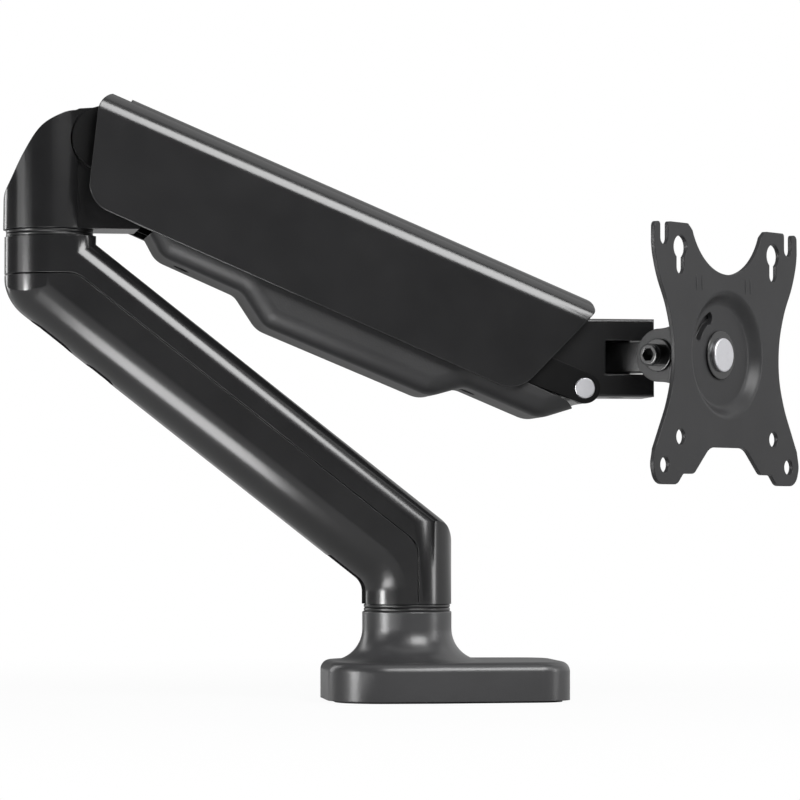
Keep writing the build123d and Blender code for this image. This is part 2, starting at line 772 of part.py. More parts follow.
with BuildPart() as upper_link:
    with BuildSketch(ARM):
        with BuildLine():
            Polyline(
                along(UPPER_REAR, 0, UPPER_EYE_R),
                along(UPPER_REAR, LINK_LENGTH - 14, UPPER_EYE_R),
                along(UPPER_REAR, LINK_LENGTH, UPPER_FRONT_R),
                along(UPPER_REAR, LINK_LENGTH, -UPPER_FRONT_R),
                along(UPPER_REAR, LINK_LENGTH - 16, -UPPER_DEPTH),
                along(UPPER_REAR, 14, -UPPER_DEPTH),
                along(UPPER_REAR, 0, -UPPER_DEPTH),
                close=True,
            )
        make_face()
        with Locations(UPPER_REAR):
            Circle(UPPER_EYE_R)
        with Locations(UPPER_FRONT):
            Circle(UPPER_FRONT_R)
    extrude(amount=UPPER_OUT, both=True)
    with BuildSketch(link_level(UPPER_REAR, UPPER_EYE_R - UPPER_WEB_T)):
        with Locations((LINK_LENGTH / 2, 0)):
            Rectangle(LINK_LENGTH + 80, 2 * UPPER_IN)
    extrude(amount=-60, mode=Mode.SUBTRACT)
    with BuildSketch(link_level(UPPER_REAR, 0)):
        with Locations((-16, 0), (LINK_LENGTH + 13, 0)):
            Rectangle(60, 2 * UPPER_IN)
    extrude(amount=30, mode=Mode.SUBTRACT)
    with BuildSketch(ARM):
        with Locations(UPPER_REAR, UPPER_FRONT):
            Circle(PIN_R + RUN)
        with Locations(SPRING_FRONT):
            Circle(SPRING_PIN_R + SPRING_PIN_PLAY)
    extrude(amount=60, both=True, mode=Mode.SUBTRACT)
    with BuildSketch(link_level(UPPER_REAR, UPPER_EYE_R)):
        with Locations((HOOD_SCREW_1, 0), (HOOD_SCREW_2, 0)):
            Circle(2.2)
    extrude(amount=-UPPER_WEB_T, mode=Mode.SUBTRACT)
keep("upper_link", upper_link.part)

# Upper cover

HOOD_REAR = along(UPPER_REAR, -11.1, 21.1)
HOOD_REAR_LOW = along(UPPER_REAR, 3.6, -30.4)
HOOD_FRONT = along(UPPER_FRONT, 9.1, 18.5)
HOOD_LIP = along(UPPER_FRONT, 11.8, 13.9)
HOOD_FRONT_LOW = along(UPPER_FRONT, -7.7, -34.0)
HOOD_SLOPE = atan2(HOOD_REAR[1] - HOOD_FRONT[1], HOOD_FRONT[0] - HOOD_REAR[0])


def hood_section(back):
    """Plane across the upper cover on its top line, this far behind its rear corner: x across, y upwards."""
    c = cos(HOOD_SLOPE)
    s = sin(HOOD_SLOPE)
    at = ARM.from_local_coords((HOOD_REAR[0] - back * c, HOOD_REAR[1] + back * s, 0))
    return Plane(origin=at, x_dir=(S, -C, 0), z_dir=(-C * c, -S * c, s))


with BuildPart() as upper_cover:
    with BuildSketch(hood_section(40)) as profile:
        with Locations((0, -60)):
            Rectangle(2 * HOOD_OUT, 120)
        fillet(profile.vertices().group_by(Axis.Y)[-1], HOOD_EDGE)
        with BuildSketch(mode=Mode.SUBTRACT) as hollow:
            with Locations((0, -62 - HOOD_TOP_T)):
                Rectangle(2 * HOOD_IN, 124)
            fillet(hollow.vertices().group_by(Axis.Y)[-1], HOOD_EDGE - HOOD_TOP_T)
    extrude(amount=-340)
    with BuildSketch(ARM) as side:
        with BuildLine():
            Polyline(HOOD_REAR, HOOD_FRONT, HOOD_LIP, HOOD_FRONT_LOW, HOOD_REAR_LOW, close=True)
        make_face()
        round_at(side, HOOD_REAR, 9.0)
        round_at(side, HOOD_FRONT, 5.0)
        round_at(side, HOOD_LIP, 3.0)
        round_at(side, HOOD_FRONT_LOW, 14.0)
        round_at(side, HOOD_REAR_LOW, 13.0)
    extrude(amount=60, both=True, mode=Mode.INTERSECT)
    with BuildSketch(hood_section(20)):
        with Locations((0, 0)):
            Rectangle(2 * HOOD_NOTCH_HALF, 20)
    extrude(amount=-20 - HOOD_NOTCH, mode=Mode.SUBTRACT)
    with BuildSketch(link_level(UPPER_REAR, UPPER_EYE_R)):
        with Locations((HOOD_SCREW_1, 0)):
            Circle(5)
    extrude(amount=HOOD_BOSS_1)
    with BuildSketch(link_level(UPPER_REAR, UPPER_EYE_R)):
        with Locations((HOOD_SCREW_2, 0)):
            Circle(5)
    extrude(amount=HOOD_BOSS_2)
    with BuildSketch(link_level(UPPER_REAR, UPPER_EYE_R)):
        with Locations((HOOD_SCREW_1, 0), (HOOD_SCREW_2, 0)):
            Circle(SMALL_SCREW_R)
    extrude(amount=2.4, mode=Mode.SUBTRACT)
keep("upper_cover", upper_cover.part)


def small_screw(name, level, at, length):
    """A pan-head screw: its head sits under the plane, its shank runs up from it."""
    with BuildPart() as screw:
        with BuildSketch(level):
            with Locations(at):
                Circle(3.6)
        extrude(amount=-2.2)
        fillet(screw.faces().sort_by(Axis.Z)[0].edges(), 0.9)
        with BuildSketch(level):
            with Locations(at):
                Circle(SMALL_SCREW_R)
        extrude(amount=length)
        with BuildSketch(level.offset(-2.2)):
            with Locations(at):
                Rectangle(3.4, 0.8)
                Rectangle(0.8, 3.4)
        extrude(amount=1.2, mode=Mode.SUBTRACT)
    keep(name, screw.part)


small_screw("cover_screw_rear", link_level(UPPER_REAR, UPPER_EYE_R - UPPER_WEB_T), (HOOD_SCREW_1, 0), 4.8)
small_screw("cover_screw_front", link_level(UPPER_REAR, UPPER_EYE_R - UPPER_WEB_T), (HOOD_SCREW_2, 0), 4.8)

# Lower link, a channel with its web underneath


def link_depth(run):
    """Depth of the lower link below its pivot line."""
    if run <= LINK_TAPER:
        return LINK_REAR_DEPTH
    return LINK_REAR_DEPTH + (LINK_NOSE_R - LINK_REAR_DEPTH) * (run - LINK_TAPER) / (LINK_LENGTH - LINK_TAPER)


with BuildPart() as lower_link:
    with BuildSketch(ARM):
        with BuildLine():
            Polyline(
                along(LOWER_REAR, 0, 9),
                along(LOWER_REAR, 40, LINK_NOSE_R),
                along(LOWER_REAR, LINK_LENGTH, LINK_NOSE_R),
                along(LOWER_REAR, LINK_LENGTH, -LINK_NOSE_R),
                along(LOWER_REAR, LINK_TAPER, -LINK_REAR_DEPTH),
                along(LOWER_REAR, -2, -LINK_REAR_DEPTH),
                along(LOWER_REAR, -9, 0),
                close=True,
            )
        make_face()
        with Locations(LOWER_REAR):
            Circle(9)
        with Locations(LOWER_FRONT):
            Circle(LINK_NOSE_R)
    extrude(amount=LINK_OUT, both=True)
    with BuildSketch(ARM):
        with BuildLine():
            Polyline(
                along(LOWER_REAR, LINK_WEB_START, 60),
                along(LOWER_REAR, LINK_WEB_START, -link_depth(LINK_WEB_START) + LINK_WEB_T),
                along(LOWER_REAR, LINK_TAPER, -link_depth(LINK_TAPER) + LINK_WEB_T),
                along(LOWER_REAR, LINK_WEB_END, -link_depth(LINK_WEB_END) + LINK_WEB_T),
                along(LOWER_REAR, LINK_WEB_END, -60),
                along(LOWER_REAR, LINK_LENGTH + 60, -60),
                along(LOWER_REAR, LINK_LENGTH + 60, 60),
                close=True,
            )
        make_face()
        with BuildLine():
            Polyline(
                along(LOWER_REAR, -60, 60),
                along(LOWER_REAR, LINK_WEB_START, 60),
                along(LOWER_REAR, LINK_WEB_START, -60),
                along(LOWER_REAR, -60, -60),
                close=True,
            )
        make_face()
    extrude(amount=LINK_IN, both=True, mode=Mode.SUBTRACT)
    with BuildSketch(ARM):
        with Locations(LOWER_REAR):
            Circle(PIN_R + RUN)
        with Locations(LOWER_FRONT):
            Circle(NOSE_PIN_R + RUN)
    extrude(amount=60, both=True, mode=Mode.SUBTRACT)
    with BuildSketch(link_level(LOWER_REAR, 0)):
        with Locations((TRAY_SCREW_1, 0), (TRAY_SCREW_2, 0)):
            Circle(SMALL_SCREW_R)
    extrude(amount=-40, mode=Mode.SUBTRACT)
keep("lower_link", lower_link.part)

# Underside tray

# Lower edge of the tray: run and rise from the rear pivot of the lower link, and the corner's radius
TRAY_EDGE = (
    (14.0, -12.2, 0),
    (22.6, -19.3, 11),
    (62.1, -20.2, 8),
    (77.2, -30.5, 12),
    (158.5, -30.7, 12),
    (171.9, -20.3, 8),
    (208.9, -20.6, 12),
    (221.3, -10.4, 0),
)


def tray_form(lift, rim):
    """The tray's side form: its lower edge, raised by lift, and its rim this far above its own place."""
    with BuildSketch() as side:
        with BuildLine():
            Polyline(
                *[along(LOWER_REAR, run, rise + lift) for run, rise, turn in TRAY_EDGE],
                along(LOWER_REAR, LINK_LENGTH - 6, rim - TRAY_RIM_FRONT),
                along(LOWER_REAR, 20, rim - TRAY_RIM),
                close=True,
            )
        make_face()
        for run, rise, turn in TRAY_EDGE[1:-1]:
            round_at(side, along(LOWER_REAR, run, rise + lift), turn)
    return side.sketch


def tray_bend(part, half):
    """The edges along the lower corners of a tray form with this half width."""
    low = along(LOWER_REAR, 0, -11.9)

    def is_low(edge):
        at = ARM.to_local_coords(edge.center())
        rise = (at.X - low[0]) * LINK_S + (at.Y - low[1]) * LINK_C
        return abs(abs(at.Z) - half) < 0.01 and rise < 0

    return part.edges().filter_by(is_low)


with BuildPart() as tray_core:
    with BuildSketch(ARM):
        add(tray_form(TRAY_FLOOR, 20))
    extrude(amount=TRAY_IN, both=True)
    fillet(tray_bend(tray_core, TRAY_IN), TRAY_ROUND - TRAY_FLOOR)

with BuildPart() as tray:
    with BuildSketch(ARM):
        add(tray_form(0, 0))
    extrude(amount=TRAY_OUT, both=True)
    fillet(tray_bend(tray, TRAY_OUT), TRAY_ROUND)
    add(tray_core.part, mode=Mode.SUBTRACT)
    with BuildSketch(ARM):
        with BuildLine():
            Polyline(
                along(LOWER_REAR, 8, -LINK_REAR_DEPTH - PLAY),
                along(LOWER_REAR, 30, -LINK_REAR_DEPTH - PLAY),
                along(LOWER_REAR, 30, 20),
                along(LOWER_REAR, 8, 20),
                close=True,
            )
        make_face()
    extrude(amount=TRAY_IN, both=True, mode=Mode.SUBTRACT)
    with BuildSketch(link_level(LOWER_REAR, -LINK_REAR_DEPTH)):
        with Locations((TRAY_SCREW_1, 0)):
            Circle(TRAY_BOSS_R)
    extrude(amount=-9.1)
    with BuildSketch(link_level(LOWER_REAR, -link_depth(TRAY_SCREW_2) - 0.5)):
        with Locations((TRAY_SCREW_2, 0)):
            Circle(TRAY_BOSS_R)
    extrude(amount=-10.2)
    with BuildSketch(link_level(LOWER_REAR, 0)):
        with Locations((TRAY_SCREW_1, 0), (TRAY_SCREW_2, 0)):
            Circle(SMALL_SCREW_R + 0.2)
    extrude(amount=-60, mode=Mode.SUBTRACT)
    for run, head in ((TRAY_SCREW_1, TRAY_HEAD_1), (TRAY_SCREW_2, TRAY_HEAD_2)):
        with BuildSketch(link_level(LOWER_REAR, -head)):
            with Locations((run, 0)):
                Circle(TRAY_SINK_R)
        extrude(amount=-10, mode=Mode.SUBTRACT)
keep("underside_tray", tray.part)

tray_low_1 = link_level(LOWER_REAR, -TRAY_HEAD_1)
tray_low_2 = link_level(LOWER_REAR, -TRAY_HEAD_2)
small_screw("tray_screw_rear", tray_low_1, (TRAY_SCREW_1, 0), TRAY_HEAD_1 - LINK_REAR_DEPTH + 2)
small_screw("tray_screw_front", tray_low_2, (TRAY_SCREW_2, 0), TRAY_HEAD_2 - link_depth(TRAY_SCREW_2) + 2)

# Gas spring

SPRING_RUN = hypot(SPRING_FRONT[0] - SPRING_REAR[0], SPRING_FRONT[1] - SPRING_REAR[1])
SPRING_C = (SPRING_FRONT[0] - SPRING_REAR[0]) / SPRING_RUN
SPRING_S = (SPRING_REAR[1] - SPRING_FRONT[1]) / SPRING_RUN


def spring_section(run):
    """Plane across the gas spring, this far from its rear pin, facing its front."""
    at = ARM.from_local_coords((SPRING_REAR[0] + run * SPRING_C, SPRING_REAR[1] - run * SPRING_S, 0))
    return Plane(origin=at, x_dir=(S, -C, 0), z_dir=(C * SPRING_C, S * SPRING_C, -SPRING_S))


with BuildPart() as spring_barrel:
    with BuildSketch(spring_section(BARREL_START)):
        Circle(BARREL_R)
    extrude(amount=BARREL_END - BARREL_START)
    fillet(spring_barrel.edges().filter_by(GeomType.CIRCLE), 1.2)
    with BuildSketch(spring_section(0)):
        with Locations((5.5, 0), (-5.5, 0)):
            Rectangle(2.0, 8.0)
    extrude(amount=BARREL_START + 1)
    with BuildSketch(ARM):
        with Locations(SPRING_REAR):
            Circle(5.2)
    extrude(amount=6.5, both=True)
    with BuildSketch(ARM):
        with Locations(SPRING_REAR):
            Circle(5.4)
    extrude(amount=4.5, both=True, mode=Mode.SUBTRACT)
    with BuildSketch(ARM):
        with Locations(SPRING_REAR):
            Circle(SPRING_PIN_R + RUN)
    extrude(amount=10, both=True, mode=Mode.SUBTRACT)
    with BuildSketch(spring_section(BARREL_START + 4)):
        Circle(BARREL_BORE_R)
    extrude(amount=BARREL_END - BARREL_START - 12, mode=Mode.SUBTRACT)
    with BuildSketch(spring_section(BARREL_END - 10)):
        Circle(ROD_R + RUN)
    extrude(amount=20, mode=Mode.SUBTRACT)
keep("spring_barrel", spring_barrel.part)

with BuildPart() as spring_rod:
    with BuildSketch(spring_section(BARREL_END - 44)):
        Circle(PISTON_R)
    extrude(amount=6)
    with BuildSketch(spring_section(BARREL_END - 44)):
        Circle(ROD_R)
    extrude(amount=SPRING_RUN - BARREL_END + 40)
    with BuildSketch(ARM):
        with Locations(SPRING_FRONT):
            Circle(7)
    extrude(amount=5, both=True)
    with BuildSketch(ARM):
        with Locations(SPRING_FRONT):
            Circle(SPRING_PIN_R)
    extrude(amount=10, both=True, mode=Mode.SUBTRACT)
keep("spring_rod", spring_rod.part)

cross_pin("spring_front_pin", SPRING_FRONT, SPRING_PIN_R, UPPER_OUT)

# Head

with BuildPart() as head_block:
    with BuildSketch(ARM):
        with BuildLine():
            Polyline(
                (HEAD_BACK, HEAD_TOP),
                (HEAD_END, HEAD_TOP),
                (HEAD_END, HEAD_BOTTOM),
                (HEAD_BACK + 12, HEAD_BOTTOM),
                (HEAD_BACK, HEAD_BOTTOM + 16),
                close=True,
            )
        make_face()
    extrude(amount=HEAD_HALF, both=True)
    level_edges = head_block.edges().filter_by(
        lambda e: abs(abs(ARM.to_local_coords(e.center()).Z) - HEAD_HALF) < 0.01
    )
    fillet(level_edges, 1.2)
    with BuildSketch(ARM):
        with Locations(LOWER_FRONT):
            Circle(6.8)
    extrude(amount=HEAD_HALF, both=True)
    with BuildSketch(ARM):
        with BuildLine():
            Polyline(
                (SLOT_BACK, SLOT_LOW),
                (HEAD_END + 5, SLOT_LOW),
                (HEAD_END + 5, SLOT_HIGH),
                (SLOT_BACK, SLOT_HIGH),
                close=True,
            )
        make_face()
    extrude(amount=HEAD_HALF + 5, both=True, mode=Mode.SUBTRACT)
    with BuildSketch(ARM):
        with Locations(UPPER_FRONT):
            Circle(PIN_R)
        with Locations(LOWER_FRONT):
            Circle(NOSE_PIN_R)
    extrude(amount=60, both=True, mode=Mode.SUBTRACT)
    with BuildSketch(pan_level(HEAD_BOTTOM)):
        Circle(PAN_PIN_R)
    extrude(amount=HEAD_TOP - HEAD_BOTTOM, mode=Mode.SUBTRACT)
    with BuildSketch(pan_level(HEAD_TOP)):
        Circle(6.6)
    extrude(amount=-4, mode=Mode.SUBTRACT)
keep("head_block", head_block.part)

cross_pin("head_upper_pin", UPPER_FRONT, PIN_R, UPPER_OUT)
cross_pin("head_lower_pin", LOWER_FRONT, NOSE_PIN_R, LINK_OUT + 0.5, 0.3)
spacer("head_spacer_near", LOWER_FRONT, NOSE_PIN_R + RUN, 6.6, HEAD_HALF + PLAY, LINK_IN - PLAY)
spacer("head_spacer_far", LOWER_FRONT, NOSE_PIN_R + RUN, 6.6, -LINK_IN + PLAY, -HEAD_HALF - PLAY)

with BuildPart() as pan_pin:
    with BuildSketch(pan_level(HEAD_BOTTOM + 0.6)):
        Circle(PAN_PIN_R)
    extrude(amount=HEAD_TOP - HEAD_BOTTOM - 2)
    with BuildSketch(pan_level(HEAD_TOP - 4)):
        Circle(6.4)
    extrude(amount=3.2)
    with BuildSketch(pan_level(HEAD_TOP - 0.8)):
        RegularPolygon(2.9, 6)
    extrude(amount=-2.4, mode=Mode.SUBTRACT)
keep("pan_pin", pan_pin.part)

TONGUE_LOW = PLATE_Z - TONGUE_HALF_HEIGHT
TONGUE_HIGH = PLATE_Z + TONGUE_HALF_HEIGHT
PAN_WASHER_R = TONGUE_EYE_R - 0.3
PAN_WASHER_T = TONGUE_LOW - SLOT_LOW - PLAY
ring("pan_washer_low", pan_level(SLOT_LOW), PAN_WASHER_R, PAN_PIN_R + RUN, PAN_WASHER_T)
ring("pan_washer_high", pan_level(TONGUE_HIGH + PLAY), PAN_WASHER_R, PAN_PIN_R + RUN, PAN_WASHER_T)

with BuildPart() as knuckle:
    with BuildSketch(pan_level(TONGUE_LOW)):
        Circle(TONGUE_EYE_R)
        with Locations((TILT_OUT / 2, 0)):
            Rectangle(TILT_OUT, 2 * TONGUE_HALF)
    extrude(amount=2 * TONGUE_HALF_HEIGHT)
    with BuildSketch(tilt_side(0)):
        Circle(KNUCKLE_R)
    extrude(amount=BARREL_HALF, both=True)
    with BuildSketch(pan_level(TONGUE_LOW)):
        Circle(PAN_PIN_R + RUN)
    extrude(amount=2 * TONGUE_HALF_HEIGHT, mode=Mode.SUBTRACT)
    with BuildSketch(tilt_side(0)):
        Circle(TILT_BOLT_R + RUN)
    extrude(amount=40, both=True, mode=Mode.SUBTRACT)
keep("knuckle", knuckle.part)

# Tilt bracket

with BuildPart() as tilt_bracket:
    with BuildSketch(tilt_side(0)):
        with BuildLine():
            reach = BRACKET_BACK + 1 - TILT_OUT
            top = TangentArc((0, EAR_R), (reach, EAR_ROOT), tangent=(1, 0))
            Line(top @ 1, (reach, -EAR_ROOT))
            TangentArc((0, -EAR_R), (reach, -EAR_ROOT), tangent=(1, 0))
            Line((0, -EAR_R), (0, EAR_R))
        make_face()
        Circle(EAR_R)
    extrude(amount=EAR_OUT, both=True)
    with BuildSketch(tilt_side(0)):
        with Locations((0, 0)):
            Rectangle(2 * (BRACKET_BACK - TILT_OUT), 80)
    extrude(amount=EAR_IN, both=True, mode=Mode.SUBTRACT)
    with BuildSketch(facing(BRACKET_BACK)):
        Circle(BRACKET_R)
    extrude(amount=BRACKET_T)
    with BuildSketch(tilt_side(0)):
        Circle(TILT_BOLT_R)
    extrude(amount=40, both=True, mode=Mode.SUBTRACT)
    with BuildSketch(facing(BRACKET_BACK)):
        Circle(PIVOT_R)
    extrude(amount=BRACKET_T + 2, mode=Mode.SUBTRACT)
keep("tilt_bracket", tilt_bracket.part)

ring("tilt_washer_near", tilt_side(EAR_OUT), TILT_WASHER_R, TILT_BOLT_R + RUN, TILT_WASHER_T)
ring("tilt_washer_far", tilt_side(-EAR_OUT - TILT_WASHER_T), TILT_WASHER_R, TILT_BOLT_R + RUN, TILT_WASHER_T)
ring("tilt_shim_near", tilt_side(BARREL_HALF + PLAY), 8.6, TILT_BOLT_R + RUN, EAR_IN - BARREL_HALF - PLAY)
ring("tilt_shim_far", tilt_side(-EAR_IN), 8.6, TILT_BOLT_R + RUN, EAR_IN - BARREL_HALF - PLAY)

with BuildPart() as tilt_bolt:
    with BuildSketch(tilt_side(-EAR_OUT - TILT_WASHER_T - 8)):
        Circle(TILT_BOLT_R)
    extrude(amount=2 * EAR_OUT + 2 * TILT_WASHER_T + 8)
    with BuildSketch(tilt_side(EAR_OUT + TILT_WASHER_T)):
        Circle(TILT_HEAD_R)
    extrude(amount=TILT_HEAD_L)
    fillet(tilt_bolt.faces().sort_by(Axis.Y)[0].edges(), 0.7)
    with BuildSketch(tilt_side(EAR_OUT + TILT_WASHER_T + TILT_HEAD_L)):
        RegularPolygon(3.1, 6)
    extrude(amount=-4.5, mode=Mode.SUBTRACT)
keep("tilt_bolt", tilt_bolt.part)

with BuildPart() as tilt_nut:
    with BuildSketch(tilt_side(-EAR_OUT - TILT_WASHER_T)):
        RegularPolygon(7.2, 6)
        Circle(TILT_BOLT_R, mode=Mode.SUBTRACT)
    extrude(amount=-6)
keep("tilt_nut", tilt_nut.part)

# Screen plate

DISH_FRONT = PLATE_OUT - DISH_DEPTH
DISH_BACK = DISH_FRONT - PLATE_T

with BuildPart() as pivot_bolt:
    with BuildSketch(facing(BRACKET_BACK - 2.6)):
        Circle(9)
    extrude(amount=2.6)
    with BuildSketch(facing(BRACKET_BACK - 2.6)):
        Circle(PIVOT_R)
    extrude(amount=DISH_FRONT + PLATE_WASHER_T + PLAY - BRACKET_BACK + 2.6)
keep("pivot_bolt", pivot_bolt.part)

FRICTION_T = DISH_BACK - BRACKET_BACK - BRACKET_T - PLAY / 2
ring("friction_washer", facing(BRACKET_BACK + BRACKET_T), 17.0, PIVOT_R + RUN, FRICTION_T)
ring("plate_washer", facing(DISH_FRONT + PLAY / 2), 11.0, PIVOT_R + RUN, PLATE_WASHER_T)

with BuildPart() as centre_cap:
    with BuildSketch(facing(DISH_FRONT + PLATE_WASHER_T + PLAY)):
        Circle(7.7)
    extrude(amount=PLATE_OUT - CAP_SUNK - DISH_FRONT - PLATE_WASHER_T - PLAY)
    fillet(centre_cap.faces().sort_by(Axis.X)[-1].edges(), 0.7)
keep("centre_cap", centre_cap.part)

with BuildPart() as screen_plate:
    with BuildSketch(facing(PLATE_OUT - PLATE_T)) as outline:
        with BuildLine():
            ThreePointArc((-28, 54.6), (0, 36), (28, 54.6))
            for side in (1, -1):
                Polyline((side * 28, 54.6), (side * 31, 57), (side * 57.2, 57), (side * 57.2, 46))
                Spline(
                    (side * 57.2, 46),
                    (side * 53, 32.5),
                    (side * 46.4, 20),
                    (side * 42.4, 6),
                    (side * 42.3, -9),
                    (side * 46.2, -22.5),
                    (side * 52.8, -35),
                    (side * 57.4, -44),
                )
                Polyline(
                    (side * 57.4, -44),
                    (side * 58.5, -49),
                    (side * 56, -58),
                    (side * 38, -58),
                    (side * 34.5, -53.5),
                    (side * 26.5, -53.5),
                    (side * 14, -41.8),
                )
            Line((14, -41.8), (-14, -41.8))
        make_face()
        for side in (1, -1):
            round_at(outline, (side * 57.2, 57), 7.0)
            round_at(outline, (side * 31, 57), 2.0)
            round_at(outline, (side * 56, -58), 6.0)
            round_at(outline, (side * 58.5, -49), 6.0)
            round_at(outline, (side * 38, -58), 3.0)
            round_at(outline, (side * 26.5, -53.5), 5.0)
            round_at(outline, (side * 14, -41.8), 8.0)
        half_large = VESA_LARGE / 2
        half_small = VESA_SMALL / 2
        for side in (1, -1):
            with Locations((side * half_large, -half_large), (side * half_small, -half_small)):
                Circle(PLATE_HOLE_R, mode=Mode.SUBTRACT)
            with Locations((side * half_large, half_large), (side * half_small, half_small)):
                Circle(SLOT_R, mode=Mode.SUBTRACT)
            with Locations((side * half_large, half_large + 10)):
                Rectangle(2 * SLOT_R, 20, mode=Mode.SUBTRACT)
            with Locations((side * half_small, half_small + KEY_RISE / 2)):
                Rectangle(2 * SLOT_R, KEY_RISE, mode=Mode.SUBTRACT)
            with Locations((side * half_small, half_small + KEY_RISE)):
                Circle(KEY_R, mode=Mode.SUBTRACT)
        Circle(DISH_R + 0.5, mode=Mode.SUBTRACT)
    extrude(amount=PLATE_T)
    with BuildSketch(Plane(origin=(PAN_X, PAN_Y, PLATE_Z), x_dir=(1, 0, 0), z_dir=(0, -1, 0))):
        with BuildLine():
            Polyline(
                (PLATE_OUT, DISH_R + 1),
                (PLATE_OUT, DISH_R),
                (DISH_FRONT, DISH_FLOOR_R),
                (DISH_FRONT, PIVOT_R + RUN),
                (DISH_BACK, PIVOT_R + RUN),
                (DISH_BACK, DISH_FLOOR_R - 1.0),
                (PLATE_OUT - PLATE_T, DISH_R - 1.0),
                (PLATE_OUT - PLATE_T, DISH_R + 1),
                close=True,
            )
        make_face()
    revolve(axis=Axis((PAN_X, PAN_Y, PLATE_Z), (1, 0, 0)))
    with BuildSketch(facing(DISH_BACK)):
        with BuildLine():
            stop = CenterArc((0, 0), 18.5, 118, 36)
        SlotArc(stop, 4.4)
        with Locations(stop @ 0):
            Circle(3.0)
    extrude(amount=PLATE_T, mode=Mode.SUBTRACT)
keep("screen_plate", screen_plate.part)
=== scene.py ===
"""Studio scene of a folding desk monitor arm.

The CAD pieces get their finishes, the screen plate its pressed form, and small details and soft light are added.
"""

import json
import math

import bmesh
import bpy
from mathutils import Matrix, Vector, geometry


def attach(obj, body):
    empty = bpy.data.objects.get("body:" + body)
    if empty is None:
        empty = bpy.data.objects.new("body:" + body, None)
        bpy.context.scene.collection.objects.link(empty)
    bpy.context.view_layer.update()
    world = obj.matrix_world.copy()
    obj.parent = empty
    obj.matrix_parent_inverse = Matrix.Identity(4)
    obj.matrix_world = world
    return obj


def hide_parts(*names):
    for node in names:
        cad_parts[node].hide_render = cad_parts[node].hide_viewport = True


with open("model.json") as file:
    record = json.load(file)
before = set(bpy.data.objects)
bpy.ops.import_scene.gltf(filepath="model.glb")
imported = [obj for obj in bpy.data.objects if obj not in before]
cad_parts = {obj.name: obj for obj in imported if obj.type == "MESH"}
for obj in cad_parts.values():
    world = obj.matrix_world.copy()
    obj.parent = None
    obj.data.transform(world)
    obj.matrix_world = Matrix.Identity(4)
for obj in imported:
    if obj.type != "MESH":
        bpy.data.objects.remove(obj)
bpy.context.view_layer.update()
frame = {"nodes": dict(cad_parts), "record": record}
nodes = frame["nodes"]
scene = bpy.context.scene

# Heading of the folded arm seen from above
ARM_YAW = math.radians(47.0)
MM = 0.001


# Shared surface effects

def group_sockets(tree, inputs, outputs):
    for name, kind, value in inputs:
        socket = tree.interface.new_socket(name, in_out="INPUT", socket_type=kind)
        socket.default_value = value
    for name, kind in outputs:
        tree.interface.new_socket(name, in_out="OUTPUT", socket_type=kind)
    return tree.nodes.new("NodeGroupInput"), tree.nodes.new("NodeGroupOutput")


def link(tree, source, target):
    tree.links.new(source, target)


def math_node(tree, kind, first, second):
    node = tree.nodes.new("ShaderNodeMath")
    node.operation = kind
    for socket, value in zip(node.inputs, (first, second)):
        if isinstance(value, (int, float)):
            socket.default_value = value
        else:
            link(tree, value, socket)
    return node.outputs["Value"]


def noise(tree, vector, scale, detail, roughness=0.5):
    node = tree.nodes.new("ShaderNodeTexNoise")
    node.inputs["Detail"].default_value = detail
    node.inputs["Roughness"].default_value = roughness
    link(tree, vector, node.inputs["Vector"])
    if isinstance(scale, (int, float)):
        node.inputs["Scale"].default_value = scale
    else:
        link(tree, scale, node.inputs["Scale"])
    return node.outputs["Fac"]


def spread(tree, value, low, high, to_low, to_high):
    node = tree.nodes.new("ShaderNodeMapRange")
    for name, given in (("From Min", low), ("From Max", high), ("To Min", to_low), ("To Max", to_high)):
        if isinstance(given, (int, float)):
            node.inputs[name].default_value = given
        else:
            link(tree, given, node.inputs[name])
    link(tree, value, node.inputs["Value"])
    return node.outputs["Result"]


def make_coat_grain():
    """Fine pimpled skin of powder coat and moulded plastic: a height and a mottling mask."""
    tree = bpy.data.node_groups.new("coat_grain", "ShaderNodeTree")
    given, result = group_sockets(
        tree,
        [("Vector", "NodeSocketVector", (0, 0, 0)), ("Grain Scale", "NodeSocketFloat", 1500.0)],
        [("Height", "NodeSocketFloat"), ("Mottling", "NodeSocketFloat")],
    )
    cells = tree.nodes.new("ShaderNodeTexVoronoi")
    link(tree, given.outputs["Vector"], cells.inputs["Vector"])
    link(tree, given.outputs["Grain Scale"], cells.inputs["Scale"])
    pimple = math_node(tree, "SUBTRACT", 1.0, cells.outputs["Distance"])
    fine = noise(tree, given.outputs["Vector"], given.outputs["Grain Scale"], 2.0)
    coarse_share = math_node(tree, "MULTIPLY", pimple, 0.6)
    fine_share = math_node(tree, "MULTIPLY", fine, 0.4)
    height = math_node(tree, "ADD", coarse_share, fine_share)
    link(tree, height, result.inputs["Height"])
    broad = noise(tree, given.outputs["Vector"], 38.0, 4.0, 0.6)
    link(tree, spread(tree, broad, 0.32, 0.68, 0.0, 1.0), result.inputs["Mottling"])
    return tree


